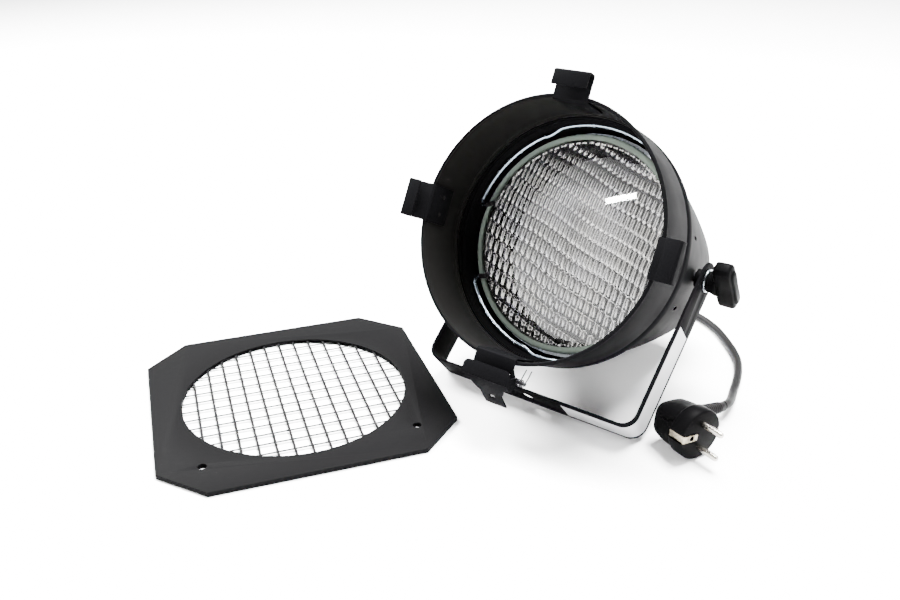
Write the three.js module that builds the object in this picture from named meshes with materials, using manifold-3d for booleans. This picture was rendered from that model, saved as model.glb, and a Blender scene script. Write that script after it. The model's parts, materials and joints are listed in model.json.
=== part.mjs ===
// A par can stage light with its square filter frame laid beside it.
// Millimetres, +Z up. The lamp looks towards -Y, raised by CAN_TILT, and the can
// stands on its rear edge and on the base of its yoke. The origin is on the floor,
// under the middle of the light and its filter frame.
import * as THREE from "three";
import { mergeVertices } from "three/addons/utils/BufferGeometryUtils.js";
import Module from "manifold-3d";

const wasm = await Module();
wasm.setup();

// ---- driving dimensions ----------------------------------------------------
const GAP = 0.3; // kept between pieces that touch
const SHEET = 1.2; // steel sheet of the can
const CAN_POSITION = [94.2, 119.1]; // plan position of the pivot axis
const CAN_TILT = 28.4; // degrees the mouth looks up

const LAMP_RADIUS = 89; // sealed lamp, 178 mm across
const LAMP_SETBACK = 7.4; // seam to the front of the lamp's edge
const LAMP_EDGE = 6.6; // thickness of the lens edge
const LAMP_DEPTH = 76; // reflector, from edge to neck
const LAMP_NECK = 19;
const LAMP_BASE_LENGTH = 9;

const TUBE_ROOM = 12; // from the lamp's edge to the outside of the front tube
const TUBE_RADIUS = LAMP_RADIUS + TUBE_ROOM;
const TUBE_LENGTH = 58; // rim to seam
const RIM_BEAD = 1.7; // rolled edge of the rim
const RIB_FROM_SEAM = 9; // rolled rib, ahead of the seam
const RIB_DEPTH = 1.1;

const HOUSING_STEP = 3.7; // how much thinner the housing is than the tube at the seam
const HOUSING_TAPER = 28.3; // how much its radius falls from seam to rear
const HOUSING_BULGE = 1.7; // how far the side bows out of a straight cone
const HOUSING_LAP = 7; // length that slips inside the front tube
const REAR_FLANGE = 23; // width of the rear edge that turns inwards
const VENT_COUNT = 10;
const VENT_SIZE = [3.2, 11]; // width and length of a vent slot
const VENT_PLACE = 36; // behind the seam

const CAP_LAP = 14; // how far the cap covers the rear flange
const CAP_DISH = 7;
const CAP_SCREW_COUNT = 3;
const SCREW_RADIUS = 1.8;

const RING_WIRE = 1.5; // radius of the retaining ring's wire
const RING_ROOM = 4; // from the lamp's edge to the middle of the ring's wire

const FRAME_ROOM = 15; // how far the filter frame reaches past the tube
const FRAME_SIDE = 2 * (TUBE_RADIUS + FRAME_ROOM);
const FRAME_CORNER = 34.5; // cut corners
const FRAME_OPENING = LAMP_RADIUS + 3;
const FRAME_THICKNESS = 3.8;
const FRAME_HOLE = 3.5;
const FRAME_HOLE_INSET = 33.5; // hanging hole, in from both edges
const FRAME_CLEARANCE = 9.3; // between the frame's side and the yoke's corner
const FRAME_SLIDE = 0.5; // from that corner to the middle of the side
const FRAME_TURN = 55.5;
const MESH_PITCH = 13.2;
const MESH_BAR = 2.2;
const MESH_THICKNESS = 0.8;

const CLIP_WIDTH = 30;
const CLIP_SHEET = 1.5;
const CLIP_SLOT = 6.2; // room for the filter frame
const CLIP_LIP = 11.5;
const CLIP_TAB = 26;

const LATCH_WIDTH = 42;
const LATCH_PIN = [2.5, TUBE_RADIUS + 11.5]; // behind the rim, from the can's axis
const LATCH_PIN_RADIUS = 1.4;

const PIVOT_FROM_SEAM = 59.4;
const YOKE_ROOM = 9.9; // from the housing's side to the outside of a yoke arm
const YOKE_LENGTH = 138.7; // pivot to the outside of the base
const YOKE_BAR = [2, 28.9]; // thickness and width
const YOKE_BEND = 12.3;
const BOLT_RADIUS = 4;
const BOLT_CLEARANCE = 0.4;
const SPACER_RADIUS = 8;
const KNOB_WING = [16, 14, 48]; // depth, thickness and length
const KNOB_TURN = 31; // degrees the wing leans forward
const HANG_HOLE = 6;

const WIRING_ROOM = 20; // behind the lampholder, for the terminal block
const GLAND_PLACE = [-10, -14]; // on the rear cap, across and up
const GLAND_STEM = 7.5;

const CORD_RADIUS = 3.5;
const PLUG_FROM_YOKE = 43; // middle of the plug's face, from the yoke's side
const PLUG_AHEAD = -90; // from the pivot, along Y
const PLUG_HEIGHT = 20.3;
const PLUG_TURN = -20.8; // degrees in plan that the pins point from +X
const PLUG_ROLL = 8;
const PLUG_RADIUS = 20;
const PLUG_DEPTH = 36;
const PLUG_OUTLET = 27; // middle of the side outlet, behind the face
const PIN_SPACING = 19;
const PIN_LENGTH = 19;
const PIN_RADIUS = 2.4;

// ---- small tools -----------------------------------------------------------
const rad = THREE.MathUtils.degToRad;
const group = new THREE.Group();

/** Merges a geometry by position and turns its faces outwards. */
function closed(geometry) {
  const bare = new THREE.BufferGeometry();
  bare.setAttribute("position", geometry.getAttribute("position").clone());
  if (geometry.index) bare.setIndex(geometry.index.clone());
  const merged = mergeVertices(bare, 1e-4);
  const p = merged.getAttribute("position");
  const index = Array.from(merged.index.array);
  const kept = [];
  const [a, b, c] = [new THREE.Vector3(), new THREE.Vector3(), new THREE.Vector3()];
  let volume = 0;
  for (let i = 0; i < index.length; i += 3) {
    const [u, v, w] = index.slice(i, i + 3);
    if (u === v || v === w || w === u) continue;
    kept.push(u, v, w);
    a.fromBufferAttribute(p, u);
    b.fromBufferAttribute(p, v);
    c.fromBufferAttribute(p, w);
    volume += a.dot(b.cross(c));
  }
  merged.setIndex(volume < 0 ? kept.reverse() : kept);
  return merged;
}

/** Turns a three.js geometry into a manifold solid. */
function toSolid(geometry) {
  const g = closed(geometry);
  return new wasm.Manifold(new wasm.Mesh({
    numProp: 3,
    vertProperties: new Float32Array(g.getAttribute("position").array),
    triVerts: new Uint32Array(g.index.array),
  }));
}

/** Turns a manifold solid back into a geometry. */
function toGeometry(solid) {
  const m = solid.getMesh();
  const g = new THREE.BufferGeometry();
  g.setAttribute("position", new THREE.Float32BufferAttribute(Array.from(m.vertProperties), 3));
  g.setIndex(Array.from(m.triVerts));
  return g;
}

/** Cuts the second and later geometries from the first. */
function cut(body, tools) {
  let solid = toSolid(body);
  for (const tool of tools) solid = solid.subtract(toSolid(tool));
  return toGeometry(solid);
}

/** Joins geometries into one. */
function join(pieces) {
  let solid = toSolid(pieces[0]);
  for (const piece of pieces.slice(1)) solid = solid.add(toSolid(piece));
  return toGeometry(solid);
}

/** Revolves a closed outline of [radius, place] about Y, the can's own axis. */
function turned(points, sides = 60) {
  const outline = points.map(([r, y]) => new THREE.Vector2(r, y));
  const onAxis = points[0][0] === 0 && points[points.length - 1][0] === 0;
  if (!onAxis) outline.push(outline[0].clone());
  return closed(new THREE.LatheGeometry(outline, sides));
}

/** Gives an open outline of [radius, place] an inside wall, offset square to it. */
function walled(outer, thickness) {
  const inner = outer.map((point, i) => {
    const before = outer[Math.max(i - 1, 0)];
    const after = outer[Math.min(i + 1, outer.length - 1)];
    const [dr, dy] = [after[0] - before[0], after[1] - before[1]];
    const length = Math.hypot(dr, dy);
    return [Math.max(point[0] - (dy / length) * thickness, 0), point[1] + (dr / length) * thickness];
  });
  return [...outer, ...inner.reverse()];
}

/** A plate of the given outline in XY, raised by its height along Z. */
function plate(points, height, holes = []) {
  const outline = points.map(([x, y]) => new THREE.Vector2(x, y));
  if (THREE.ShapeUtils.isClockWise(outline)) outline.reverse();
  const shape = new THREE.Shape(outline);
  for (const hole of holes) shape.holes.push(hole);
  return new THREE.ExtrudeGeometry(shape, { depth: height, bevelEnabled: false, curveSegments: 12 });
}

/** A round hole for a plate. */
function roundHole(x, y, radius, steps = 20) {
  const points = [];
  for (let i = 0; i < steps; i += 1) {
    const angle = (-2 * Math.PI * i) / steps;
    points.push(new THREE.Vector2(x + radius * Math.cos(angle), y + radius * Math.sin(angle)));
  }
  return new THREE.Path(points);
}

/** A strip of sheet bent along a path of points, extruded to its width about zero. */
function bentStrip(path, thickness, width) {
  const left = [];
  const right = [];
  path.forEach((point, i) => {
    const a = path[Math.max(i - 1, 0)];
    const b = path[Math.min(i + 1, path.length - 1)];
    const u = new THREE.Vector2(point[0] - a[0], point[1] - a[1]).normalize();
    const v = new THREE.Vector2(b[0] - point[0], b[1] - point[1]).normalize();
    const along = u.clone().add(v).normalize();
    const half = thickness / 2 / Math.max(along.dot(i ? u : v), 0.3);
    left.push([point[0] - along.y * half, point[1] + along.x * half]);
    right.push([point[0] + along.y * half, point[1] - along.x * half]);
  });
  return plate([...left, ...right.reverse()], width).translate(0, 0, -width / 2);
}

/** A cylinder along X, from x0 to x1. */
function rod(x0, x1, radius, sides = 20) {
  const g = new THREE.CylinderGeometry(radius, radius, x1 - x0, sides);
  return g.rotateZ(Math.PI / 2).translate((x0 + x1) / 2, 0, 0);
}

/** A cylinder along Y, from y0 to y1. */
function post(y0, y1, radius, sides = 20) {
  return new THREE.CylinderGeometry(radius, radius, y1 - y0, sides).translate(0, (y0 + y1) / 2, 0);
}

/** A solid skinned over rings of equally many points, with flat ends. */
function lofted(rings) {
  const count = rings[0].length;
  const corners = rings.flat().flat();
  const index = [];
  for (let r = 0; r + 1 < rings.length; r += 1) {
    for (let i = 0; i < count; i += 1) {
      const j = (i + 1) % count;
      const [a, b] = [r * count + i, r * count + j];
      index.push(a, b, b + count, a, b + count, a + count);
    }
  }
  const last = (rings.length - 1) * count;
  for (let i = 1; i + 1 < count; i += 1) {
    index.push(0, i + 1, i);
    index.push(last, last + i, last + i + 1);
  }
  const g = new THREE.BufferGeometry();
  g.setAttribute("position", new THREE.Float32BufferAttribute(corners, 3));
  g.setIndex(index);
  return g;
}

/** A round wire swept along a smooth curve through points. */
function wire(points, radius, steps, sides = 8) {
  const curve = new THREE.CatmullRomCurve3(points.map((p) => new THREE.Vector3(...p)), false, "centripetal");
  const section = new THREE.Shape();
  for (let i = 0; i < sides; i += 1) {
    const angle = (2 * Math.PI * i) / sides;
    const [x, y] = [radius * Math.cos(angle), radius * Math.sin(angle)];
    if (i) section.lineTo(x, y);
    else section.moveTo(x, y);
  }
  return new THREE.ExtrudeGeometry(section, { steps, extrudePath: curve, bevelEnabled: false });
}

const finish = {
  blackSteel: { color: 0x1c1c1e, roughness: 0.45, metalness: 0.4 },
  springSteel: { color: 0x2a2a2c, roughness: 0.35, metalness: 0.9 },
  zinc: { color: 0xb8bcc0, roughness: 0.3, metalness: 1 },
  glass: { color: 0xd8e2dc, roughness: 0.08, metalness: 0 },
  mirror: { color: 0xe8e8ea, roughness: 0.08, metalness: 1 },
  ceramic: { color: 0xe9e4d6, roughness: 0.6, metalness: 0 },
  blackPlastic: { color: 0x121213, roughness: 0.5, metalness: 0 },
  rubber: { color: 0x101011, roughness: 0.7, metalness: 0 },
  nickel: { color: 0xc9c2b4, roughness: 0.25, metalness: 1 },
};

/** Adds one named piece to a group. */
function add(parent, name, geometry, look) {
  const mesh = new THREE.Mesh(closed(geometry), new THREE.MeshStandardMaterial(finish[look]));
  mesh.name = name;
  parent.add(mesh);
  return mesh;
}

// ---- the can's outline, as radius against the distance behind the rim -------
const SEAM = TUBE_LENGTH;
const LAMP_PLACE = SEAM + LAMP_SETBACK;
const lampBack = LAMP_PLACE + LAMP_EDGE;
const baseFront = lampBack + 2 * GAP + LAMP_DEPTH;
const prongFront = baseFront + LAMP_BASE_LENGTH + GAP;
const HOLDER = [36, 24, 26];
const holderFront = prongFront + 1;
const holderBack = holderFront + HOLDER[1];
const REAR_EDGE = holderBack + WIRING_ROOM;
const HOUSING_FRONT_RADIUS = TUBE_RADIUS - HOUSING_STEP;
const HOUSING_REAR_RADIUS = HOUSING_FRONT_RADIUS - HOUSING_TAPER;
const REAR_OPENING = HOUSING_REAR_RADIUS - REAR_FLANGE;
const CORNER_ROUND = 3; // of the housing's rear edge
const SIDE_END = REAR_EDGE - CORNER_ROUND;
const PIVOT_PLACE = SEAM + PIVOT_FROM_SEAM;

/** Outside radius of the rear housing at a distance behind the rim. */
function housingRadius(place) {
  const t = (place - SEAM) / (SIDE_END - SEAM);
  const cone = HOUSING_FRONT_RADIUS + t * (HOUSING_REAR_RADIUS - HOUSING_FRONT_RADIUS);
  return cone + HOUSING_BULGE * 4 * t * (1 - t);
}

/** The front tube's outline: rolled rim, straight wall and a rib rolled into it. */
function tubeOutline() {
  const ribPlace = SEAM - RIB_FROM_SEAM;
  const wall = [
    [TUBE_RADIUS, 2 * RIM_BEAD + 0.4],
    [TUBE_RADIUS, ribPlace - 2],
    [TUBE_RADIUS - RIB_DEPTH, ribPlace - 0.6],
    [TUBE_RADIUS - RIB_DEPTH, ribPlace + 0.6],
    [TUBE_RADIUS, ribPlace + 2],
    [TUBE_RADIUS, SEAM],
  ];
  const rolled = [
    [TUBE_RADIUS - 0.2, 0],
    [TUBE_RADIUS + RIM_BEAD * 0.55, 0.1],
    [TUBE_RADIUS + RIM_BEAD, RIM_BEAD * 0.8],
    [TUBE_RADIUS + RIM_BEAD * 0.85, RIM_BEAD * 1.6],
  ];
  const inside = [[TUBE_RADIUS - SHEET, 1.2], [TUBE_RADIUS - 0.8, 0.3]];
  return [...rolled, ...walled(wall, SHEET), ...inside];
}

/** The rear housing's outline: lap, step, bowed side, rounded edge and rear flange. */
function housingOutline() {
  const lap = TUBE_RADIUS - SHEET - GAP;
  const points = [
    [lap, SEAM - HOUSING_LAP + 1],
    [lap, SEAM - 0.2],
    [HOUSING_FRONT_RADIUS, SEAM + 1.8],
  ];
  const sideSteps = 5;
  for (let i = 1; i <= sideSteps; i += 1) {
    const place = SEAM + 1.8 + ((SIDE_END - SEAM - 1.8) * i) / sideSteps;
    points.push([housingRadius(place), place]);
  }
  points.push([HOUSING_REAR_RADIUS - 0.9, REAR_EDGE - 1]);
  points.push([HOUSING_REAR_RADIUS - CORNER_ROUND, REAR_EDGE]);
  points.push([REAR_OPENING, REAR_EDGE]);
  return points;
}

// The lowest point of the tilted can stands on the floor, which gives the pivot's height.
const tilt = rad(CAN_TILT);
const heights = housingOutline().map(([r, s]) => (s - PIVOT_PLACE) * Math.sin(tilt) + r * Math.cos(tilt));
const PIVOT_HEIGHT = Math.max(...heights);
// The yoke swings down until the lower edge of its base meets the same floor.
const baseReach = Math.hypot(YOKE_LENGTH, YOKE_BAR[1] / 2);
const YOKE_SWING = Math.asin(PIVOT_HEIGHT / baseReach) - Math.atan2(YOKE_BAR[1] / 2, YOKE_LENGTH);
const YOKE_HALF = housingRadius(PIVOT_PLACE) + YOKE_ROOM; // pivot axis to the outside of an arm

const pivotPlace = [CAN_POSITION[0], CAN_POSITION[1], PIVOT_HEIGHT];

/** Group that turns with the can: its Y is the distance behind the rim. */
const can = new THREE.Group();
const canTurn = new THREE.Group();
canTurn.position.set(...pivotPlace);
canTurn.rotation.x = -tilt;
can.position.y = -PIVOT_PLACE;
canTurn.add(can);
group.add(canTurn);

// ---- front tube ------------------------------------------------------------
add(can, "front_tube", turned(tubeOutline(), 52), "blackSteel");

// ---- rear housing ----------------------------------------------------------
const boltHole = BOLT_RADIUS + BOLT_CLEARANCE;
const screwCircle = REAR_OPENING + CAP_LAP / 2;
const screwPlaces = [];
for (let i = 0; i < CAP_SCREW_COUNT; i += 1) {
  const angle = Math.PI / 2 + (2 * Math.PI * i) / CAP_SCREW_COUNT;
  screwPlaces.push([screwCircle * Math.cos(angle), screwCircle * Math.sin(angle)]);
}

/** The housing's cutters: vent slots, pivot holes and cap screw holes. */
function housingCutters() {
  const tools = [];
  for (let i = 0; i < VENT_COUNT; i += 1) {
    const slot = new THREE.BoxGeometry(16, VENT_SIZE[1], VENT_SIZE[0]);
    slot.translate(housingRadius(SEAM + VENT_PLACE), SEAM + VENT_PLACE, 0);
    tools.push(slot.rotateY((2 * Math.PI * (i + 0.5)) / VENT_COUNT));
  }
  for (const side of [-1, 1]) {
    const hole = rod(-12, 12, boltHole, 16);
    tools.push(hole.translate(side * housingRadius(PIVOT_PLACE), PIVOT_PLACE, 0));
  }
  for (const [x, z] of screwPlaces) {
    tools.push(post(REAR_EDGE - 6, REAR_EDGE + 4, SCREW_RADIUS + BOLT_CLEARANCE, 12).translate(x, 0, z));
  }
  return tools;
}
const housingSolid = turned(walled(housingOutline(), SHEET), 52);
add(can, "rear_housing", cut(housingSolid, housingCutters()), "blackSteel");

// ---- lamp seat ring --------------------------------------------------------
const SEAT_PLACE = LAMP_PLACE + LAMP_EDGE + 2.6;
const seatOuter = housingRadius(SEAT_PLACE + 7) - SHEET - GAP - 0.4;
const seatRing = [
  [LAMP_RADIUS - 2.6, SEAT_PLACE],
  [seatOuter, SEAT_PLACE],
  [seatOuter, SEAT_PLACE + 6],
  [seatOuter - SHEET, SEAT_PLACE + 6],
  [seatOuter - SHEET, SEAT_PLACE + SHEET],
  [LAMP_RADIUS - 2.6, SEAT_PLACE + SHEET],
];
add(can, "lamp_seat_ring", turned(seatRing, 40), "zinc");

// ---- lamp ------------------------------------------------------------------
const lensOutline = [
  [0, LAMP_PLACE - 6.4],
  [LAMP_RADIUS * 0.33, LAMP_PLACE - 5.7],
  [LAMP_RADIUS * 0.62, LAMP_PLACE - 3.7],
  [LAMP_RADIUS * 0.86, LAMP_PLACE - 1.1],
  [LAMP_RADIUS - 1.5, LAMP_PLACE],
  [LAMP_RADIUS, LAMP_PLACE + 1.6],
  [LAMP_RADIUS, lampBack],
  [LAMP_RADIUS - 5, lampBack],
  [LAMP_RADIUS * 0.62, lampBack - 4],
  [0, lampBack - 7],
];
add(can, "lamp_lens", turned(lensOutline, 40), "glass");

/** The reflector bowl: a flat edge, a deep curve and a neck closed at its back. */
function reflectorOutline() {
  const front = lampBack + GAP;
  const wall = 2.6;
  const outer = [[LAMP_RADIUS, front], [LAMP_RADIUS, front + 1.8], [LAMP_RADIUS - 4, front + 2.4]];
  const steps = 5;
  const bowl = LAMP_DEPTH - 16;
  for (let i = 1; i <= steps; i += 1) {
    const angle = (Math.PI / 2) * (i / steps) * 0.86;
    outer.push([(LAMP_RADIUS - 4) * Math.cos(angle), front + 2.4 + bowl * Math.sin(angle)]);
  }
  const neckFront = outer[outer.length - 1][1] + 1.5;
  outer.push([LAMP_NECK, neckFront]);
  outer.push([LAMP_NECK, front + LAMP_DEPTH]);
  outer.push([0, front + LAMP_DEPTH]);
  const inner = [];
  for (let i = 0; i <= steps; i += 1) {
    const angle = (Math.PI / 2) * (i / steps);
    const radius = i === steps ? 0 : (LAMP_RADIUS - 4 - wall) * Math.cos(angle);
    inner.push([radius, front + (bowl - wall - 1) * Math.sin(angle)]);
  }
  return [...inner.reverse(), ...outer];
}
add(can, "lamp_reflector", turned(reflectorOutline(), 32), "mirror");

const bowlFloor = lampBack + GAP + LAMP_DEPTH - 16 - 3.6;
const FILAMENT_HALF = 9;
const posts = [-1, 1].map((side) => post(bowlFloor - 24, bowlFloor - GAP - 0.8, 0.9, 8)
  .translate(side * FILAMENT_HALF * 0.6, 0, 0));
const filamentBar = rod(-FILAMENT_HALF, FILAMENT_HALF, 1.6, 10).translate(0, bowlFloor - 24.5, 0);
add(can, "lamp_filament", join([filamentBar, ...posts]), "zinc");

add(can, "lamp_base", post(baseFront, baseFront + LAMP_BASE_LENGTH, LAMP_NECK - 1.5, 32), "ceramic");
const PRONG = [1.8, 13, 7];
const PRONG_PLACE = 6.5;
for (const [side, label] of [[-1, "left"], [1, "right"]]) {
  const prong = new THREE.BoxGeometry(...PRONG);
  prong.translate(side * PRONG_PLACE, prongFront + PRONG[1] / 2, 0);
  add(can, `lamp_prong_${label}`, prong, "nickel");
}

// ---- lampholder on the prongs ----------------------------------------------
const holderBody = new THREE.BoxGeometry(...HOLDER).translate(0, holderFront + HOLDER[1] / 2, 0);
const slots = [-1, 1].map((side) => new THREE.BoxGeometry(PRONG[0] + 1, PRONG[1] + 2, PRONG[2] + 1)
  .translate(side * PRONG_PLACE, prongFront + PRONG[1] / 2 - 0.4, 0));
add(can, "lampholder", cut(holderBody, slots), "ceramic");

// ---- terminal block and leads inside the rear ------------------------------
const TERMINAL = [30, 11, 16];
const TERMINAL_PLACE = [0, REAR_EDGE - 10, 34];
const terminal = new THREE.BoxGeometry(...TERMINAL).translate(...TERMINAL_PLACE);
add(can, "terminal_block", terminal, "ceramic");
const terminalFoot = TERMINAL_PLACE[2] - TERMINAL[2] / 2 - GAP;
const LEAD_RADIUS = 1.3;
for (const [name, x] of [["lead_live", -9], ["lead_neutral", 9]]) {
  const path = [
    [x * 0.5, holderBack + 2 * GAP, 4.5],
    [x * 0.5, holderBack + 3, 5],
    [x * 0.8, holderBack + 4.5, 12],
    [x, TERMINAL_PLACE[1] - 4, terminalFoot - 5],
    [x, TERMINAL_PLACE[1] - 4, terminalFoot],
  ];
  add(can, name, wire(path, LEAD_RADIUS, 10, 6), "rubber");
}

// ---- rear cap, its screws, and the cable gland -------------------------------
const capFront = REAR_EDGE + GAP;
const capBack = capFront + CAP_DISH;
const capOutline = [
  [0, capBack - SHEET],
  [REAR_OPENING - 6, capBack - SHEET],
  [REAR_OPENING - 1.2, capFront],
  [REAR_OPENING + CAP_LAP, capFront],
  [REAR_OPENING + CAP_LAP, capFront + SHEET],
  [REAR_OPENING, capFront + SHEET],
  [REAR_OPENING - 5, capBack],
  [0, capBack],
];
const capTools = screwPlaces.map(([x, z]) => {
  const hole = post(capFront - 4, capFront + 6, SCREW_RADIUS + BOLT_CLEARANCE, 12);
  return hole.translate(x, 0, z);
});
const glandHole = post(capFront - 4, capFront + 20, GLAND_STEM + BOLT_CLEARANCE, 24);
capTools.push(glandHole.translate(GLAND_PLACE[0], 0, GLAND_PLACE[1]));
add(can, "rear_cap", cut(turned(capOutline, 48), capTools), "blackSteel");

screwPlaces.forEach(([x, z], i) => {
  const headFront = capFront + SHEET + GAP;
  const screw = turned([
    [0, capFront - 6],
    [SCREW_RADIUS, capFront - 5],
    [SCREW_RADIUS, headFront],
    [3.6, headFront],
    [3.3, headFront + 1.6],
    [1.8, headFront + 2.3],
    [0, headFront + 2.3],
  ], 16);
  add(can, `cap_screw_${i + 1}`, screw.translate(x, 0, z), "zinc");
});

const glandBore = CORD_RADIUS + GAP;
const HEX_RADIUS = 11;
const HEX_HEIGHT = 5;
const DOME_LENGTH = 10.5;
const glandStem = turned([
  [glandBore, capBack - SHEET - 6.5],
  [GLAND_STEM, capBack - SHEET - 6.5],
  [GLAND_STEM, capBack + 1],
  [glandBore, capBack + 1],
], 24);
const hexRing = cut(
  new THREE.CylinderGeometry(HEX_RADIUS, HEX_RADIUS, HEX_HEIGHT, 6)
    .translate(0, capBack + GAP + HEX_HEIGHT / 2, 0),
  [post(capBack - 2, capBack + 9, glandBore, 24)],
);
const domeFront = capBack + HEX_HEIGHT - 1;
const glandEnd = domeFront + DOME_LENGTH;
const domeNut = turned([
  [glandBore, domeFront],
  [9.6, domeFront],
  [9.4, glandEnd - 3.5],
  [7.2, glandEnd],
  [glandBore, glandEnd],
], 24);
const gland = join([glandStem, hexRing, domeNut]);
add(can, "cable_gland", gland.translate(GLAND_PLACE[0], 0, GLAND_PLACE[1]), "blackPlastic");
const LOCKNUT_HEIGHT = 4;
const locknut = cut(
  new THREE.CylinderGeometry(10.5, 10.5, LOCKNUT_HEIGHT, 6)
    .translate(0, capBack - SHEET - GAP - LOCKNUT_HEIGHT / 2, 0),
  [post(capBack - 12, capBack + 2, GLAND_STEM + GAP, 24)],
);
add(can, "gland_locknut", locknut.translate(GLAND_PLACE[0], 0, GLAND_PLACE[1]), "blackPlastic");

// The sleeve that keeps the cord from kinking where it leaves the gland.
const GLAND_SLEEVE = 22;
const sleeveStart = glandEnd + GAP;
const glandSleeve = turned([
  [0, sleeveStart],
  [CORD_RADIUS + 2.4, sleeveStart],
  [CORD_RADIUS + 2, sleeveStart + 3],
  [CORD_RADIUS + 0.9, sleeveStart + GLAND_SLEEVE - 1],
  [CORD_RADIUS + 0.5, sleeveStart + GLAND_SLEEVE],
  [0, sleeveStart + GLAND_SLEEVE],
], 12);
add(can, "gland_sleeve", glandSleeve.translate(GLAND_PLACE[0], 0, GLAND_PLACE[1]), "rubber");

const innerCordPath = [
  [GLAND_PLACE[0], capBack + 8, GLAND_PLACE[1]],
  [GLAND_PLACE[0], capBack - 3, GLAND_PLACE[1]],
  [GLAND_PLACE[0], capBack - 10, GLAND_PLACE[1]],
  [GLAND_PLACE[0] + 2, TERMINAL_PLACE[1] + 3, GLAND_PLACE[1] + 8],
  [-3, TERMINAL_PLACE[1] + 2, terminalFoot - 16],
  [0, TERMINAL_PLACE[1] + 2, terminalFoot - 6],
  [0, TERMINAL_PLACE[1] + 2, terminalFoot - GAP],
];
add(can, "inner_cord", wire(innerCordPath, CORD_RADIUS - 0.4, 14, 8), "rubber");

// ---- retaining ring: an open ring of spring wire with a sleeve on each end ---
const ringPlace = LAMP_PLACE - RING_WIRE - 1.2;
const RING_RADIUS = LAMP_RADIUS + RING_ROOM;
const RING_OPEN = [170, -146]; // degrees round the axis of its two ends
const ringPoints = [];
const ringSteps = 30;
for (let i = 0; i <= ringSteps; i += 1) {
  const angle = rad(RING_OPEN[0] + ((RING_OPEN[1] - RING_OPEN[0]) * i) / ringSteps);
  ringPoints.push([RING_RADIUS * Math.cos(angle), ringPlace, RING_RADIUS * Math.sin(angle)]);
}
/** The ring's inward-turned end at an angle, as two more points. */
function ringEnd(degrees, lean) {
  const a = rad(degrees);
  const b = rad(degrees + lean);
  return [
    [(RING_RADIUS - 4) * Math.cos(a), ringPlace - 1.2, (RING_RADIUS - 4) * Math.sin(a)],
    [(RING_RADIUS - 8) * Math.cos(b), ringPlace - 3.4, (RING_RADIUS - 8) * Math.sin(b)],
  ];
}
const [upperBend, upperTip] = ringEnd(RING_OPEN[0] + 2, -1);
const [lowerBend, lowerTip] = ringEnd(RING_OPEN[1] - 2, 1);
const ringPath = [upperTip, upperBend, ...ringPoints, lowerBend, lowerTip];
add(can, "retaining_ring", wire(ringPath, RING_WIRE, 56, 6), "zinc");
for (const [name, tip, bend] of [["upper", upperTip, upperBend], ["lower", lowerTip, lowerBend]]) {
  const from = new THREE.Vector3(...tip);
  const out = from.clone().sub(new THREE.Vector3(...bend)).normalize();
  const start = from.clone().addScaledVector(out, GAP);
  const end = from.clone().addScaledVector(out, GAP + 10);
  add(can, `ring_sleeve_${name}`, wire([start.toArray(), end.toArray()], 2.1, 1, 10), "rubber");
}

// ---- frame clips: one strip each, bent round the edge of the rim -------------
const tabRadius = Math.sqrt((TUBE_RADIUS - SHEET - GAP) ** 2 - (CLIP_WIDTH / 2) ** 2) - CLIP_SHEET / 2;
const clipReach = FRAME_SIDE / 2 + 0.7 + CLIP_SHEET / 2;
const clipBack = -(GAP + CLIP_SHEET / 2);
const clipFront = clipBack - CLIP_SHEET - CLIP_SLOT;
/** The section of a clip as [distance from the axis, place]. */
function clipSection(tab) {
  return [
    [tabRadius, tab],
    [tabRadius, clipBack + 0.9],
    [tabRadius + 0.9, clipBack],
    [clipReach - 0.9, clipBack],
    [clipReach, clipBack - 0.9],
    [clipReach, clipFront + 0.9],
    [clipReach - 0.9, clipFront],
    [clipReach - CLIP_LIP, clipFront],
  ];
}
for (const [name, turn] of [["clip_right", 0], ["clip_top", 90], ["clip_left", 180]]) {
  const clip = bentStrip(clipSection(CLIP_TAB), CLIP_SHEET, CLIP_WIDTH);
  add(can, name, clip.rotateY(-rad(turn)), "blackSteel");
}

// ---- latch: sprung flap below the mouth, which lets the filter frame out -----
const latch = new THREE.Group(); // its X is away from the can's axis, Z across
latch.rotation.y = Math.PI / 2;
can.add(latch);
const EAR = 1.4;
const earPlace = LATCH_WIDTH / 2 - 3.4;
const [pinPlace, pinRadius] = LATCH_PIN;
const bracketWidth = 2 * earPlace;
const bracketStrip = bentStrip([
  [tabRadius - 0.7, CLIP_TAB],
  [tabRadius - 0.7, clipBack + 0.9],
  [tabRadius + 0.2, clipBack],
  [pinRadius - 4, clipBack],
], CLIP_SHEET, bracketWidth);
/** One ear of the bracket or flap, with the pin's hole, in the plane of the strip. */
function ear(points, place) {
  const blank = plate(points, EAR, [roundHole(pinRadius, pinPlace, LATCH_PIN_RADIUS + 0.3, 14)]);
  return blank.translate(0, 0, place - EAR / 2);
}
const bracketEar = [
  [TUBE_RADIUS + 4, clipBack - 0.5],
  [pinRadius + 2, clipBack - 0.5],
  [pinRadius + 3.4, pinPlace],
  [pinRadius + 2, pinPlace + 3],
  [pinRadius - 2, pinPlace + 3],
  [TUBE_RADIUS + 4, clipBack + 1.5],
];
const bracketParts = [-1, 1].map((side) => ear(bracketEar, side * (earPlace - EAR / 2)));
add(latch, "latch_bracket", join([bracketStrip, ...bracketParts]), "blackSteel");

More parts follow.
